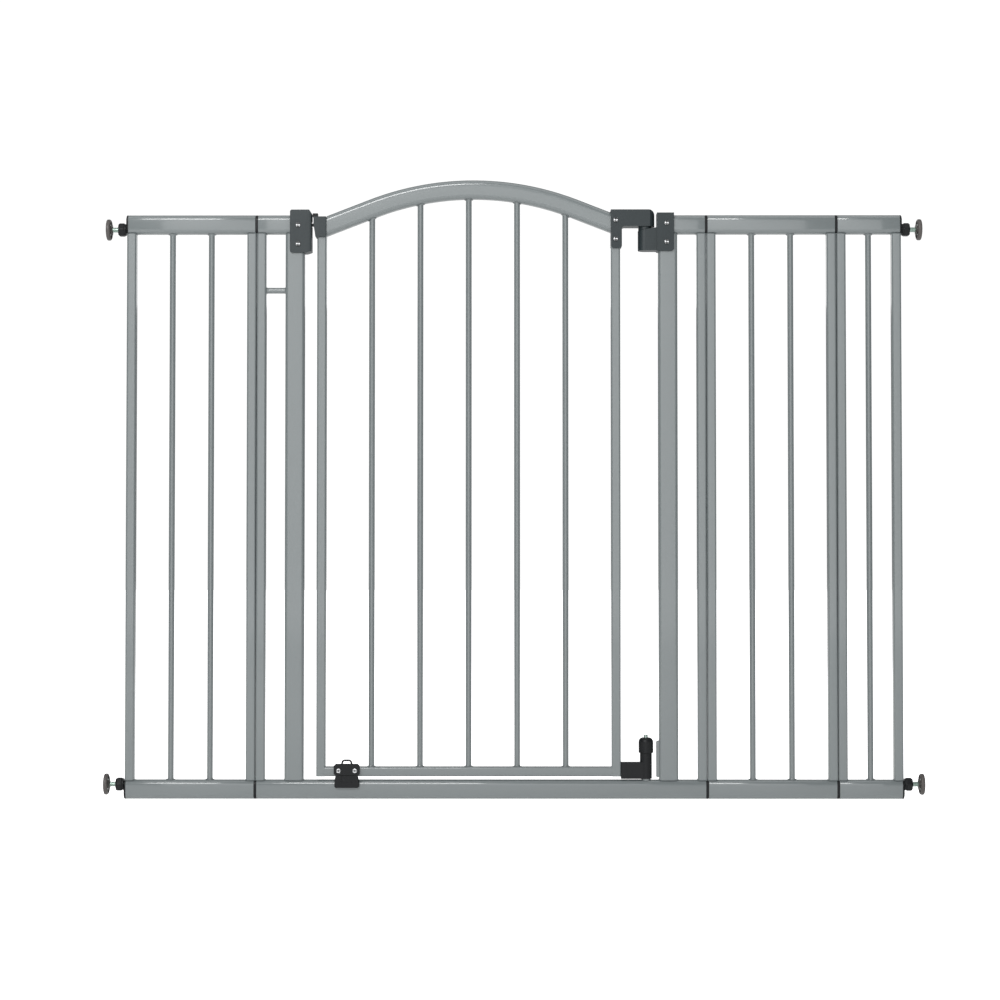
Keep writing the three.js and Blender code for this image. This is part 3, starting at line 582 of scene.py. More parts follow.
def section_outline(wide, deep, radius, points=44):
    """Points round a round-cornered section, evenly spread by angle."""
    half_x, half_y = wide / 2 - radius, deep / 2 - radius
    outline = []
    for i in range(points):
        angle = 2 * pi * i / points
        x, y = cos(angle), sin(angle)
        outline.append((x * radius + half_x * (x > 0) - half_x * (x < 0),
                        y * radius + half_y * (y > 0) - half_y * (y < 0)))
    return outline


def drawn_line(name, route, radius, rounding, closed=False, swell=lambda i: 1.0):
    """A round wire or bead along a route of points, closed on itself or capped at its ends."""
    curve = bpy.data.curves.new(name, "CURVE")
    curve.dimensions = "3D"
    curve.bevel_depth = radius
    curve.bevel_resolution = rounding
    curve.use_fill_caps = not closed
    line = curve.splines.new("POLY")
    line.points.add(len(route) - 1)
    line.use_cyclic_u = closed
    for i, (point, at) in enumerate(zip(line.points, route)):
        point.co = (*at, 1)
        point.radius = swell(i)
    piece = bpy.data.objects.new(name, curve)
    bpy.context.scene.collection.objects.link(piece)
    only(piece)
    bpy.ops.object.convert(target="MESH")
    return bpy.context.active_object


def bead(x, wide, deep, radius, surface, sign, ripple=5):
    """A weld bead round a post or bar, lying on the tube that it meets.

    The sign says which way the tube's rounded corners turn from its surface, and 0 is flat.
    """
    outline = section_outline(wide, deep, radius)
    route = [
        (x + across, at, surface(x + across) + sign * rail_shoulder(at)) for across, at in outline
    ]
    piece = drawn_line(
        "bead", route, BEAD_RADIUS, 2, closed=True,
        swell=lambda i: 1 + 0.22 * sin(ripple * i) + 0.15 * sin(0.7 * i + x * 90),
    )
    with editing(piece):
        bpy.ops.mesh.select_all(action="SELECT")
        bpy.ops.mesh.remove_doubles(threshold=MERGE)
        bpy.ops.mesh.normals_make_consistent(inside=False)
    piece.data.materials.clear()
    piece.data.materials.append(FINISHES["weld_paint"])
    return smooth(piece, 60)


def painted(pieces):
    for piece in pieces:
        if not piece.data.materials:
            piece.data.materials.append(FINISHES["grey_paint"])
    return pieces


def hollow_cutter(left, right, height):
    """The space inside a rail, which notches the posts and bars that run into it."""
    low = (left, TUBE_WALL - RAIL_DEEP / 2, height - RAIL_TALL / 2 + TUBE_WALL)
    high = (right, RAIL_DEEP / 2 - TUBE_WALL, height + RAIL_TALL / 2 - TUBE_WALL)
    return tube("cutter", "x", low, high, RAIL_RADIUS - TUBE_WALL)


def notched(uprights, rails):
    """The posts and bars of a frame, cut to the inside of the rails that they run into."""
    piece = joined("uprights", uprights)
    for left, right, height in rails:
        cut_away(piece, hollow_cutter(left - PAST, right + PAST, height))
    return smooth(piece)


def post_beads(left, wide, deep, radius):
    """Beads round a post's drawn-in ends."""
    x, drawn = left + wide / 2, deep * 0.86
    return [
        bead(x, wide, drawn, radius, lambda _: LOWER_SURFACE - 0.0006, 0),
        bead(x, wide, drawn, radius, lambda _: UPPER_SURFACE + 0.0006, 0),
    ]


def thin_post_beads(left):
    return post_beads(left, POST_WIDE, POST_DEEP, POST_RADIUS)


def bar_beads(x):
    across = 2 * FLARE_RADIUS
    return [
        bead(x, across, across, FLARE_RADIUS, lambda _: LOWER_SURFACE, -1),
        bead(x, across, across, FLARE_RADIUS, lambda _: UPPER_SURFACE, 1),
    ]


def extension(node):
    low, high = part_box(node)
    rails = [
        (low.x + RAIL_SETBACK, high.x - RAIL_SETBACK, LOWER_RAIL),
        (low.x + RAIL_SETBACK, high.x - RAIL_SETBACK, UPPER_RAIL),
    ]
    posts = [low.x, high.x - POST_WIDE]
    bars = bar_places(low.x + POST_WIDE, high.x - POST_WIDE)
    uprights = [thin_post(left) for left in posts]
    uprights += [bar("z", (x, 0, 0), LOWER_SURFACE, UPPER_SURFACE) for x in bars]
    pieces = [notched(uprights, rails)] + [rail(*sizes) for sizes in rails]
    for left in posts:
        pieces += thin_post_beads(left)
    for x in bars:
        pieces += bar_beads(x)
    piece = joined(node + "_weldment", painted(pieces))
    return place(piece, "grey_paint", "root", node)


def stop_strip():
    """The strip on the wide post beside the bottom hinge, chamfered at its top."""
    low = (RIGHT_POST_INNER - 0.0044, -0.006, FLOOR + 0.034)
    piece = add_block("strip", low, (RIGHT_POST_INNER + 0.0006, 0.006, FLOOR + 0.090))
    with editing(piece):
        pick(
            piece, "EDGE",
            lambda e: runs_along(e, "y") and near(middle(e).x, low[0]) and middle(e).z > 0.05,
        )
        bevel(0.0032, 3)
    return soften(piece, 0.0008)


def pin_socket():
    """The turned seat welded to the bottom rail, which holds the bottom hinge pin."""
    start = LOWER_SURFACE - 0.002
    piece = add_rod("socket", "z", (HINGE_X, 0, 0), start, start + 0.004, 0.0072)
    return soften(piece, 0.0008)


def main_weldment():
    left, right = main_low.x, main_high.x
    rails = [
        (left + RAIL_SETBACK, right - RAIL_SETBACK, LOWER_RAIL),
        (left + RAIL_SETBACK, LEFT_POST_INNER, UPPER_RAIL),
        (RIGHT_POST_INNER, right - RAIL_SETBACK, UPPER_RAIL),
    ]
    thin = [left, right - POST_WIDE]
    wide = [LEFT_POST_INNER - WIDE_POST_WIDE, RIGHT_POST_INNER]
    uprights = [thin_post(x) for x in thin] + [wide_post(x) for x in wide]
    brace = bar("x", (0, 0, RAIL_TOP - BRACE_DROP), left + POST_WIDE, wide[0])
    pieces = [notched(uprights, rails), brace, stop_strip(), pin_socket()]
    pieces += [rail(*sizes) for sizes in rails]
    for x in thin:
        pieces += thin_post_beads(x)
    for x in wide:
        pieces += post_beads(x, WIDE_POST_WIDE, WIDE_POST_DEEP, WIDE_POST_RADIUS)
    piece = joined("main_frame_weldment", painted(pieces))
    return place(piece, "grey_paint", "root", "main_frame")


# ---- The door: posts, rail, arch and bars ----


def arch_drop(x):
    """How far the arch's top lies under its crown at a place along the door."""
    away = abs(x - CROWN_X)
    on_arc = min(away, ARCH_RADIUS * sin(ARCH_SLOPE))
    return ARCH_RADIUS - sqrt(ARCH_RADIUS**2 - on_arc**2) + (away - on_arc) * tan(ARCH_SLOPE)


def arch_under(x):
    slope = min(abs(x - CROWN_X) / ARCH_RADIUS, sin(ARCH_SLOPE))
    return CROWN_Z - arch_drop(x) - RAIL_TALL / sqrt(1 - slope**2)


def arch():
    """A tube section spun round the arch's centre, drawn out straight and cut off upright."""
    clear_selection()
    centre = Vector((CROWN_X, 0, CROWN_Z - ARCH_RADIUS))
    bpy.ops.mesh.primitive_plane_add(
        size=1, location=(CROWN_X, 0, CROWN_Z - RAIL_TALL / 2), rotation=(0, pi / 2, 0),
    )
    piece = settled("arch")
    with editing(piece):
        bpy.ops.mesh.select_all(action="SELECT")
        place_of = (CROWN_X, 0, CROWN_Z - RAIL_TALL / 2)
        bpy.ops.transform.resize(value=(1, RAIL_DEEP, RAIL_TALL), center_override=place_of)
        bevel(RAIL_RADIUS, CORNER, "VERTICES")
        bpy.ops.mesh.select_all(action="SELECT")
        bpy.ops.transform.rotate(value=ARCH_SLOPE, orient_axis="Y", center_override=centre)
        turned = bmesh.from_edit_mesh(piece.data)
        side = 1 if sum(v.co.x - CROWN_X for v in turned.verts) > 0 else -1
        bpy.ops.mesh.spin(
            steps=36, angle=2 * ARCH_SLOPE, center=centre, axis=(0, side, 0),
        )
        reach = 0.10
        for end in (-1, 1):
            edge_x = end * (ARCH_RADIUS - RAIL_TALL / 2) * sin(ARCH_SLOPE)
            pick(
                piece, "FACE",
                lambda f: len(f.verts) > 8 and near(middle(f).x - CROWN_X, edge_x, 0.002),
            )
            extrude((end * reach * cos(ARCH_SLOPE), 0, -reach * sin(ARCH_SLOPE)))
        for cut_x, outwards in ((DOOR_BAY_LEFT, -1), (door_high.x, 1)):
            bpy.ops.mesh.select_all(action="SELECT")
            bpy.ops.mesh.bisect(
                plane_co=(cut_x, 0, 0), plane_no=(outwards, 0, 0), use_fill=True,
                clear_outer=True,
            )
        bpy.ops.mesh.select_all(action="SELECT")
        bpy.ops.mesh.remove_doubles(threshold=MERGE)
        bpy.ops.mesh.normals_make_consistent(inside=False)
    return smooth(piece)


def door_rail():
    """The door's bottom rail, a shade shallower than the posts that it runs into."""
    deep = POST_DEEP / 2 - 0.0004
    low = (door_low.x + POST_WIDE / 2, -deep, door_low.z + 0.0002)
    high = (door_high.x - POST_WIDE / 2, deep, DOOR_SURFACE)
    return smooth(tube("door_rail", "x", low, high, DOOR_RAIL_RADIUS))


def door_post(left, top):
    piece = upright(left, left + POST_WIDE, POST_DEEP, POST_RADIUS, door_low.z, top)
    return soften(piece, 0.0006, 2, 50)


def door_bar(x):
    """A bar of the door: flared at the bottom rail, and run on into the arch."""
    return bar("z", (x, 0, 0), DOOR_SURFACE, arch_under(x) + 0.0012)


def door_weldment():
    bars = bar_places(DOOR_BAY_LEFT, DOOR_BAY_RIGHT)
    pieces = [
        door_post(door_low.x, LATCH_POST_TOP), door_post(DOOR_BAY_RIGHT, HINGE_POST_TOP),
        door_rail(), arch(),
    ]
    flare_wide = 2 * FLARE_RADIUS
    for x in bars:
        pieces += [
            door_bar(x),
            bead(x, flare_wide, flare_wide, FLARE_RADIUS, arch_under, 1),
            bead(x, flare_wide, flare_wide, FLARE_RADIUS, lambda _: DOOR_SURFACE, 0),
        ]
    middle_x = door_high.x - POST_WIDE / 2
    pieces.append(bead(middle_x, POST_WIDE, POST_DEEP, POST_RADIUS, arch_under, 1))
    piece = joined("door_frame_weldment", painted(pieces))
    return place(piece, "grey_paint", "door", "door_frame")


# ---- Seam plates and wall fixings ----


def seam_plate(node):
    """The plate that shows between two rail ends, with a plug into each of them."""
    low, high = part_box(node)
    x, z = (low.x + high.x) / 2, (low.z + high.z) / 2
    half = 0.0018
    plug = (high.x - low.x) / 2 - half
    piece = tube(
        node + "_moulding", "x", (x - half, -RAIL_DEEP / 2, z - RAIL_TALL / 2),
        (x + half, RAIL_DEEP / 2, z + RAIL_TALL / 2), RAIL_RADIUS,
    )
    with editing(piece):
        for sign in (-1, 1):
            pick_end(piece, "x", sign)
            bpy.ops.mesh.inset(thickness=0.0018)
            extrude((sign * plug * 0.9, 0, 0))
            extrude((sign * plug * 0.1, 0, 0), (1, 0.9, 0.93), (x, 0, z))
    soften(piece, 0.00035, 2)
    return give(piece, "black_plastic", "root", node)


def bore_along_x(piece, low, high, axis_z):
    """Bores a piece right through for the threaded rod."""
    bore = add_rod("bore", "x", (0, 0, axis_z), low.x - PAST, high.x + PAST, THREAD_BORE)
    return cut_away(piece, bore)


def end_bush(node, wall, axis_z):
    """The domed plug in a rail's free end, bored for the threaded rod."""
    low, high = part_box(node)
    z = (low.z + high.z) / 2
    outer = high.x if wall > 0 else low.x
    face = outer - wall * 0.0012
    back = face - wall * 0.0018
    inner = low.x if wall > 0 else high.x
    piece = tube(
        node + "_moulding", "x", (min(face, back), -RAIL_DEEP / 2, z - RAIL_TALL / 2),
        (max(face, back), RAIL_DEEP / 2, z + RAIL_TALL / 2), RAIL_RADIUS,
    )
    with editing(piece):
        pick_end(piece, "x", wall)
        extrude((wall * 0.0007, 0, 0), (1, 0.9, 0.93), (face, 0, z))
        extrude((wall * 0.0005, 0, 0), (1, 0.84, 0.9), (face, 0, z))
        pick_end(piece, "x", -wall)
        bpy.ops.mesh.inset(thickness=0.0018)
        extrude((inner - back, 0, 0))
    bore_along_x(piece, low, high, axis_z)
    soften(piece, 0.00025, 2, 40)
    return give(piece, "black_plastic", "root", node)


def thread(name, axis_z, start, end):
    """A rolled thread: one turn's profile wound on along X, with its ends closed."""
    clear_selection()
    core = THREAD_RADIUS - THREAD_DEPTH
    bpy.ops.mesh.primitive_plane_add(size=1)
    piece = settled(name)
    with editing(piece):
        pick(piece, "VERT", lambda v: v.co.y > 0)
        bpy.ops.mesh.delete(type="VERT")
        bpy.ops.mesh.select_all(action="SELECT")
        bpy.ops.mesh.subdivide(number_cuts=3)
        mesh = bmesh.from_edit_mesh(piece.data)
        crest = {-0.5: 0.0, -0.25: THREAD_DEPTH, 0.0: THREAD_DEPTH, 0.25: 0.0, 0.5: 0.0}
        for v in mesh.verts:
            raised = crest[round(v.co.x * 4) / 4]
            v.co = Vector(((v.co.x + 0.5) * THREAD_PITCH, 0, core + raised))
        bmesh.update_edit_mesh(piece.data)
    turns = ceil((end - start) / THREAD_PITCH)
    apply_modifier(
        piece, "SCREW", axis="X", angle=2 * pi, screw_offset=THREAD_PITCH,
        iterations=turns, steps=20, render_steps=20, use_merge_vertices=True,
        merge_threshold=MERGE,
    )
    with editing(piece):
        bpy.ops.mesh.select_all(action="SELECT")
        bpy.ops.transform.translate(value=(start, 0, axis_z))
        bpy.ops.mesh.remove_doubles(threshold=MERGE)
        for x, outwards in ((start + THREAD_PITCH, -1), (end, 1)):
            bpy.ops.mesh.select_all(action="SELECT")
            bpy.ops.mesh.bisect(
                plane_co=(x, 0, 0), plane_no=(outwards, 0, 0), use_fill=True, clear_outer=True,
            )
        bpy.ops.mesh.select_all(action="SELECT")
        bpy.ops.mesh.normals_make_consistent(inside=False)
    return smooth(piece, 30)


def spindle(node, wall, axis_z):
    low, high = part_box(node)
    rod = thread(node + "_thread", axis_z, low.x, high.x)
    head = low.x if wall < 0 else high.x
    disc = add_rod(
        "head", "x", (0, 0, axis_z), min(head, head - wall * 0.0024),
        max(head, head - wall * 0.0024), 0.0087,
    )
    soften(disc, 0.0004, 2)
    piece = joined(node + "_thread", [rod, disc])
    return give(piece, "zinc_steel", node, node)


def pad_rib(face, wall, axis_z, turn):
    """One web between a pad's hub and its rim, turned to its place."""
    start, end = face - wall * 0.0026, face - wall * 0.0055
    piece = add_block(
        "rib", (min(start, end), -0.0008, axis_z + 0.0045),
        (max(start, end), 0.0008, axis_z + 0.0135),
    )
    with editing(piece):
        bpy.ops.mesh.select_all(action="SELECT")
        bpy.ops.transform.rotate(
            value=turn, orient_axis="X", center_override=(face, 0, axis_z),
        )
    return soften(piece, 0.0003, 2)


def wall_pad(node, body, wall, axis_z):
    """A round pad: a grooved face, a thick rolled rim, and webs to a hub in its hollow back."""
    low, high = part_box(node)
    face = low.x if wall < 0 else high.x
    back = face - wall * 0.0066
    rim = (high.z - low.z) / 2
    piece = add_rod(
        node + "_moulding", "x", (0, 0, axis_z), min(face, back), max(face, back), rim, 64,
    )
    centre = (face, 0, axis_z)
    with editing(piece):
        pick(piece, "EDGE", lambda e: not runs_along(e, "x") and near(middle(e).x, back, 0.001))
        bevel(0.0028, 6)
        pick(piece, "EDGE", lambda e: not runs_along(e, "x") and near(middle(e).x, face, 0.001))
        bevel(0.0020, 4)
        pick_end(piece, "x", wall)
        for _ in range(3):
            bpy.ops.mesh.inset(thickness=0.0020)
            bpy.ops.mesh.inset(thickness=0.0005, depth=-0.0006)
            bpy.ops.mesh.inset(thickness=0.0005, depth=0.0006)
        pick_end(piece, "x", -wall)
        bpy.ops.mesh.inset(thickness=0.0006)
        extrude((wall * 0.0038, 0, 0), (1, 0.94, 0.94), centre)
        bpy.ops.mesh.inset(thickness=0.0062)
        extrude((-wall * 0.0042, 0, 0), (1, 0.92, 0.92), centre)
        extrude((-wall * 0.0010, 0, 0), (1, 0.80, 0.80), centre)
    smooth(piece)
    count = 10
    ribs = [pad_rib(face, wall, axis_z, 2 * pi * (i + 0.3) / count) for i in range(count)]
    piece = joined(node + "_moulding", [piece, *ribs])
    return give(piece, "pad_rubber", body, node)


def hand_nut(node, wall, axis_z):
    """The nut turned by hand: a round collar at the rail, then six flats that draw in."""
    low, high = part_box(node)
    rail_side = high.x if wall < 0 else low.x
    outer = low.x if wall < 0 else high.x
    collar = rail_side + wall * 0.0028
    shoulder = outer - wall * 0.0026
    body = add_rod(
        node + "_moulding", "x", (0, 0, axis_z), min(collar, shoulder), max(collar, shoulder),
        (high.z - low.z) / 2 - 0.0001, 6,
    )
    with editing(body):
        pick(body, "EDGE", lambda e: runs_along(e, "x"))
        bevel(0.0016, 4)
        pick_end(body, "x", wall)
        extrude((wall * 0.0014, 0, 0), (1, 0.92, 0.92), (0, 0, axis_z))
        extrude((wall * 0.0012, 0, 0), (1, 0.86, 0.86), (0, 0, axis_z))
        pick_end(body, "x", -wall)
        bpy.ops.mesh.inset(thickness=0.0008)
        extrude((-wall * 0.0010, 0, 0))
    ring = add_rod(
        "collar", "x", (0, 0, axis_z), min(rail_side, collar - wall * 0.0006),
        max(rail_side, collar - wall * 0.0006), 0.0092,
    )
    for part, width in ((ring, 0.0005), (body, 0.0004)):
        bore_along_x(part, low, high, axis_z)
        soften(part, width, 2, 40)
    piece = joined(node + "_moulding", [body, ring])
    return give(piece, "black_plastic", node, node)


# ---- Screws ----


def pan_head_screw(name, metal, painted_glint_or_shade_finish, takes_painted_light):
    """A cross-recessed pan head with its shank, looking towards -Y from the origin."""
    piece = add_rod(name, "y", (0, 0, 0), -SCREW_HEAD_DEEP, 0, SCREW_HEAD, 40)
    with editing(piece):
        pick(piece, "EDGE", lambda e: not runs_along(e, "y") and near(middle(e).y, -SCREW_HEAD_DEEP))
        bevel(0.0011, 5)
        pick_end(piece, "y", 1)
        bpy.ops.mesh.inset(thickness=0.0018)
        extrude((0, 0.007, 0))
        extrude((0, 0.0015, 0), (0.35, 1, 0.35), (0, 0, 0))
    slots = ((0.0064, 0.0017, -0.0014, 0.94), (0.0017, 0.0056, -0.0005, 0.5))
    for wide, tall, floor, taper in slots:
        slot = add_block("slot", (-wide / 2, -0.004, -tall / 2), (wide / 2, floor, tall / 2))
        with editing(slot):
            pick_end(slot, "y", 1)
            bpy.ops.transform.resize(value=(taper, 1, taper), center_override=(0, 0, 0))
        cut_away(piece, slot)
    piece.data.materials.append(FINISHES[metal])
    piece.data.materials.append(FINISHES[painted_glint_or_shade_finish])
    # The recess faces that pass the test get the second finish: painted glints on a black screw,
    # painted shade on a bright one.
    with editing(piece):
        pick(
            piece, "FACE",
            lambda f: -0.0018 < middle(f).y < -0.0004 and middle(f).xz.length < 0.0034
            and takes_painted_light(middle(f)),
        )
        piece.active_material_index = 1
        bpy.ops.object.material_slot_assign()
    return soften(piece, 0.0001, 2)


SCREWS = {
    "strike_screw_top": "root",
    "strike_screw_bottom": "root",
    "knuckle_screw_top": "root",
    "knuckle_screw_bottom": "root",
    "arm_screw_top": "door",
    "arm_screw_bottom": "door",
    "stop_screw_left": "door",
    "stop_screw_right": "door",
}


def screws():
    """Black screws with painted glints in bright metal at the two ends of their recess, and bright
    ones with painted shade in black in their recess.
    """
    dark = pan_head_screw(
        "dark_pattern", "dark_screw", "screw_steel", lambda at: abs(at.x) > 0.0014,
    )
    bright = pan_head_screw("bright_pattern", "screw_steel", "dark_screw", lambda at: True)
    for node, body in SCREWS.items():
        low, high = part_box(node)
        seat = Vector(((low.x + high.x) / 2, low.y + SCREW_HEAD_DEEP, (low.z + high.z) / 2))
        is_bright = node.startswith("stop")
        piece = copied(bright if is_bright else dark, node + "_head", seat)
        place(piece, "screw_steel" if is_bright else "dark_screw", body, node)
    for pattern in (dark, bright):
        bpy.data.objects.remove(pattern)


# ---- Moulded brackets ----


def corner_at(x, z, slack=0.0004):
    """A test for the edges through a place on the front outline."""
    return lambda e: runs_along(e, "y") and near(middle(e).x, x, slack) and near(
        middle(e).z, z, slack
    )


def strike_cover():
    """The latch side's cover on the wide post, with its nose rounded towards the door."""
    piece = copy_of_node("strike_housing", "strike_cover")
    low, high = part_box("strike_housing")
    with editing(piece):
        pick(
            piece, "EDGE",
            lambda e: runs_along(e, "z") and near(middle(e).x, high.x)
            and near(abs(middle(e).y), high.y),
        )
        bevel(0.0066, 2, profile=0.6)
        pick(piece, "EDGE", corner_at(low.x, low.z))
        bevel(0.0035, 5)
    soften(piece, 0.0009, 3)
    return give(piece, "slate_plastic", "root", "strike_housing")


def arm_cover():
    """The hinge arm: a leg down the door's post and an arm out over the hinge pin."""
    piece = copy_of_node("hinge_arm", "hinge_arm_cover")
    leg_right = door_high.x + 0.0026
    arm_bottom = ARM_TOP - ARM_TALL
    with editing(piece):
        pick(piece, "EDGE", corner_at(leg_right, arm_bottom))
        bevel(0.0042, 6)
    soften(piece, 0.0009, 3)
    return give(piece, "slate_plastic", "door", "hinge_arm")


def moulding(node, name, body, finish_name, width):
    """A plastic piece as the frame has it, with its edges rounded."""
    piece = copy_of_node(node, name)
    soften(piece, width, 3)
    return give(piece, finish_name, body, node)


def bottom_bracket():
    """The door's bottom corner block, with its underside close over the rail."""
    piece = copy_of_node("bottom_bracket", "bottom_bracket_moulding")
    with editing(piece):
        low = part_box("bottom_bracket")[0].z
        pick(piece, "VERT", lambda v: near(v.co.z, low))
        bpy.ops.transform.translate(value=(0, 0, -0.0012))
    soften(piece, 0.0008, 3)
    return give(piece, "black_plastic", "door", "bottom_bracket")


def stop_slide():
    """The stop's slide, with a round-cornered finger loop over the housing."""
    piece = copy_of_node("stop_slide", "stop_slide_moulding")
    low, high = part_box("stop_slide")
    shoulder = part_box("stop_housing")[1].z + TOUCH
    with editing(piece):
        bpy.ops.mesh.select_all(action="SELECT")
        bpy.ops.mesh.bisect(
            plane_co=(0, 0, shoulder + 0.0003), plane_no=(0, 0, 1), use_fill=True,
            clear_outer=True,
        )
    soften(piece, 0.0004, 2)
    wire, bend = 0.0015, 0.0038
    half = (high.x - low.x) / 2 - wire - 0.0005
    top = high.z - wire
    route = [(-half, shoulder + wire * 0.2)]
    for i in range(9):
        angle = pi - i * pi / 16
        route.append((bend - half + bend * cos(angle), top - bend + bend * sin(angle)))
    route += [(-x, z) for x, z in reversed(route)]
    depth = (low.y + high.y) / 2
    loop = drawn_line("finger_loop", [(STOP_X + x, depth, z) for x, z in route], wire, 5)
    smooth(loop, 50)
    piece = joined("stop_slide_moulding", [piece, loop])
    return give(piece, "black_plastic", "stop_slide", "stop_slide")


def stop_catch():
    """The catch on the bottom rail, with two lips that lean in towards the housing."""
    piece = copy_of_node("stop_catch", "stop_catch_moulding")
    low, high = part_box("stop_catch")
    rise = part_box("stop_housing")[0].z - high.z - 0.0008
    with editing(piece):
        pick(piece, "VERT", lambda v: near(v.co.z, high.z))
        bpy.ops.transform.translate(value=(0, 0, rise))
        for side_x, lean in ((low.x, 0.0016), (high.x, -0.0016)):
            pick(piece, "VERT", lambda v: v.co.z > high.z and near(v.co.x, side_x))
            bpy.ops.transform.translate(value=(lean, 0, 0))
    soften(piece, 0.0005, 3)
    return give(piece, "black_plastic", "root", "stop_catch")


def spring_cap():
    """A domed cap over the closing spring, bored for the pin."""
    low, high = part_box("spring_cap")
    centre = (HINGE_X, 0, 0)
    radius = (high.x - low.x) / 2
    wall_top = high.z - 0.008
    piece = add_rod("spring_cap_moulding", "z", centre, low.z, wall_top, radius)
    with editing(piece):
        pick_end(piece, "z", 1)
        steps = 7
        last = 1.0
        for step in range(1, steps + 1):
            angle = step / steps * radians(72)
            wanted = 1 - (1 - cos(angle)) * 0.62
            rise = 0.0076 * (sin(angle) - sin(angle - radians(72) / steps))
            extrude((0, 0, rise), (wanted / last, wanted / last, 1), centre)
            last = wanted
        pick_end(piece, "z", -1)
        bpy.ops.mesh.inset(thickness=0.0024)
        extrude((0, 0, 0.018))
    cut_away(piece, add_rod("bore", "z", centre, low.z - PAST, high.z + PAST, PIN_BORE))
    soften(piece, 0.0005, 3)
    return give(piece, "black_plastic", "door", "spring_cap")


def hinge_pin(node, name, body):
    low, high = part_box(node)
    centre = ((low.x + high.x) / 2, (low.y + high.y) / 2, 0)
    piece = add_rod(name, "z", centre, low.z, high.z, (high.x - low.x) / 2)
    with editing(piece):
        pick(piece, "EDGE", lambda e: not runs_along(e, "z"))
        bevel(0.0010, 4)
    smooth(piece)
    return give(piece, "zinc_steel", body, node)


def coil(node, name, body, axis, wire, turns):
    """A coil spring: a ring of wire wound on along its axis."""
    low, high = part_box(node)
    along = "xyz".index(axis)
    across = [i for i in range(3) if i != along]
    start, end = low[along] + wire / 2, high[along] - wire / 2
    radius = (high[across[0]] - low[across[0]]) / 2 - wire / 2
    centre = [(a + b) / 2 for a, b in zip(low, high)]
    clear_selection()
    bpy.ops.mesh.primitive_circle_add(vertices=10, radius=wire / 2, rotation=(pi / 2, 0, 0))
    piece = settled(name)
    with editing(piece):
        bpy.ops.mesh.select_all(action="SELECT")
        bpy.ops.transform.translate(value=(radius, 0, 0))
    pitch = (end - start) / turns
    apply_modifier(
        piece, "SCREW", axis="Z", angle=2 * pi, screw_offset=pitch, iterations=turns,
        steps=24, render_steps=24,
    )
    with editing(piece):
        pick(piece, "EDGE", lambda e: len(e.link_faces) == 1)
        bpy.ops.mesh.edge_face_add()
        bpy.ops.mesh.select_all(action="SELECT")
        bpy.ops.mesh.normals_make_consistent(inside=False)
        if axis == "x":
            bpy.ops.transform.rotate(value=pi / 2, orient_axis="Y", center_override=(0, 0, 0))
    box = [v.co[along] for v in piece.data.vertices]
    shift = list(centre)
    shift[along] = low[along] - min(box)
    with editing(piece):
        bpy.ops.mesh.select_all(action="SELECT")
        bpy.ops.transform.translate(value=shift)
    smooth(piece, 40)
    return give(piece, "spring_steel", body, node)


# ---- Assembly ----

for extension_node in ("left_extension", "right_extension_wide", "right_extension_narrow"):
    extension(extension_node)
main_weldment()
door_weldment()

for side in ("left", "right", "narrow"):
    for level in ("top", "bottom"):
        seam_plate(f"connector_{side}_{level}")

for side, wall in (("left", -1), ("right", 1)):
    for level in ("top", "bottom"):
        corner = f"{side}_{level}"
        rod_low, rod_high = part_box(f"spindle_{corner}")
        axis_z = (rod_low.z + rod_high.z) / 2
        end_bush(f"end_bush_{corner}", wall, axis_z)
        spindle(f"spindle_{corner}", wall, axis_z)
        wall_pad(f"wall_pad_{corner}", f"spindle_{corner}", wall, axis_z)
        hand_nut(f"hand_nut_{corner}", wall, axis_z)

screws()
strike_cover()
moulding("latch_head", "latch_cover", "door", "slate_plastic", 0.0008)
arm_cover()
moulding("hinge_knuckle", "hinge_knuckle_cover", "root", "slate_plastic", 0.0009)
moulding("latch_slide", "latch_slide_moulding", "latch_slide", "black_plastic", 0.0005)
bottom_bracket()
moulding("stop_housing", "stop_housing_moulding", "door", "black_plastic", 0.0005)
stop_slide()
stop_catch()
spring_cap()
hinge_pin("top_hinge_pin", "top_hinge_pin_turned", "rising_pin")
hinge_pin("bottom_hinge_pin", "bottom_hinge_pin_turned", "root")
coil("closing_spring", "closing_spring_wire", "door", "z", 0.0015, 7)
coil("latch_spring", "latch_spring_wire", "door", "x", 0.0007, 3)
coil("stop_spring", "stop_spring_wire", "door", "z", 0.0005, 4)


# ---- Studio: floor, light and camera ----

FLOOR_HALF = 30.0
FLOOR_GLOW = 0.9  # added where the camera sees the floor
FLOOR_SPILL = 0.38  # what the floor gives the gate
BACKDROP_LIGHT = 1.05
ROOM_LIGHT = 0.24
KEY_POWER = 95
FILL_POWER = 44
OVERHEAD_POWER = 22
BEHIND_POWER = 22
VIEW_FROM = Vector((-0.013, -3.5, 0.362))
VIEW_AT = Vector((-0.0217, 0.0, 0.4644))
LENS = 80.8


def studio_floor():
    clear_selection()
    bpy.ops.mesh.primitive_plane_add(size=2 * FLOOR_HALF, location=(0, 0, FLOOR - 0.0002))
    floor = settled("studio_floor")  # glows, and more to the camera, to match the backdrop
    material = bpy.data.materials.new("pale_floor")
    material.use_nodes = True
    tree = material.node_tree
    make, link = node_maker(tree), tree.links.new
    shader = tree.nodes["Principled BSDF"]
    shader.inputs["Base Color"].default_value = (0.9, 0.9, 0.9, 1)
    shader.inputs["Roughness"].default_value = 0.9
    shader.inputs["Specular IOR Level"].default_value = 0.1
    shader.inputs["Emission Color"].default_value = (1, 1, 1, 1)
    seen = make("ShaderNodeLightPath")
    glow = make("ShaderNodeMath", operation="MULTIPLY_ADD")
    glow.inputs[1].default_value = FLOOR_GLOW
    glow.inputs[2].default_value = FLOOR_SPILL
    link(seen.outputs["Is Camera Ray"], glow.inputs[0])
    link(glow.outputs[0], shader.inputs["Emission Strength"])
    floor.data.materials.append(material)


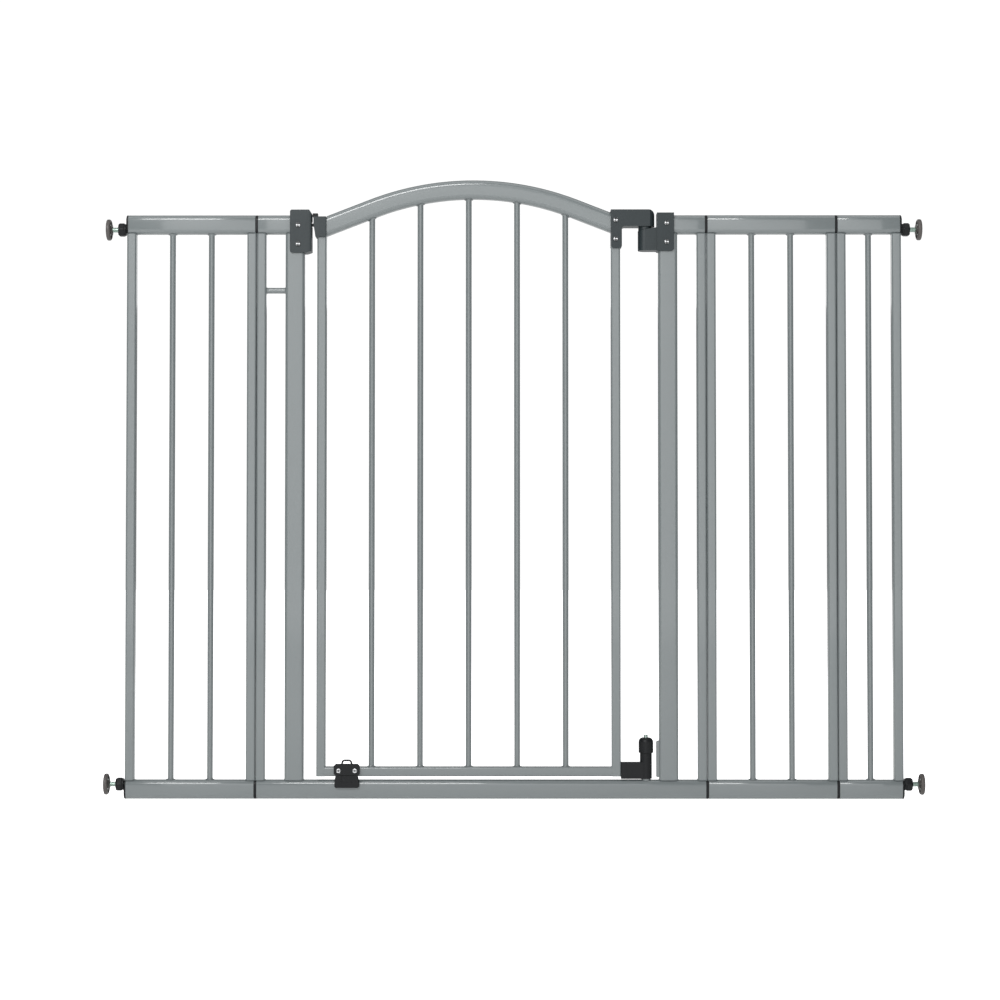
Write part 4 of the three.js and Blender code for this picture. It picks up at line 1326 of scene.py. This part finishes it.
def softbox(name, place_at, aim, wide, tall, power):
    data = bpy.data.lights.new(name, "AREA")
    data.shape = "RECTANGLE"
    data.size, data.size_y = wide, tall
    data.energy = power
    lamp = bpy.data.objects.new(name, data)
    bpy.context.scene.collection.objects.link(lamp)
    lamp.visible_camera = False
    lamp.location = place_at
    lamp.rotation_euler = (Vector(aim) - Vector(place_at)).to_track_quat("-Z", "Y").to_euler()


def studio_light():
    """White behind everything that the camera sees, and softer light from the room itself."""
    world = bpy.data.worlds.new("studio")
    bpy.context.scene.world = world
    world.use_nodes = True
    tree = world.node_tree
    make, link = node_maker(tree), tree.links.new
    backdrop = tree.nodes["Background"]
    backdrop.inputs["Color"].default_value = (1, 1, 1, 1)
    backdrop.inputs["Strength"].default_value = BACKDROP_LIGHT
    room = make("ShaderNodeBackground")
    room.inputs["Color"].default_value = (0.95, 0.98, 1, 1)
    room.inputs["Strength"].default_value = ROOM_LIGHT
    seen = make("ShaderNodeLightPath")
    choice = make("ShaderNodeMixShader")
    link(seen.outputs["Is Camera Ray"], choice.inputs[0])
    link(room.outputs[0], choice.inputs[1])
    link(backdrop.outputs[0], choice.inputs[2])
    link(choice.outputs[0], tree.nodes["World Output"].inputs["Surface"])
    softbox("key", (-1.35, -3.7, 2.85), (-0.3, 0, 0.95), 2.6, 1.25, KEY_POWER)
    softbox("fill", (0, -5.4, 1.15), (0, 0, 0.5), 5.0, 2.2, FILL_POWER)
    softbox("overhead", (0, -0.4, 3.2), (0, 0, 0.5), 4.0, 1.8, OVERHEAD_POWER)
    softbox("behind", (0, 4.2, 2.4), (0, 0, 0.5), 4.0, 2.4, BEHIND_POWER)


def studio_camera():
    data = bpy.data.cameras.new("camera")
    data.lens = LENS
    data.sensor_width = 36
    camera = bpy.data.objects.new("camera", data)
    bpy.context.scene.collection.objects.link(camera)
    camera.location = VIEW_FROM
    camera.rotation_euler = (VIEW_AT - VIEW_FROM).to_track_quat("-Z", "Y").to_euler()
    bpy.context.scene.camera = camera


studio_floor()
studio_light()
studio_camera()
bpy.context.scene.view_settings.view_transform = "Standard"
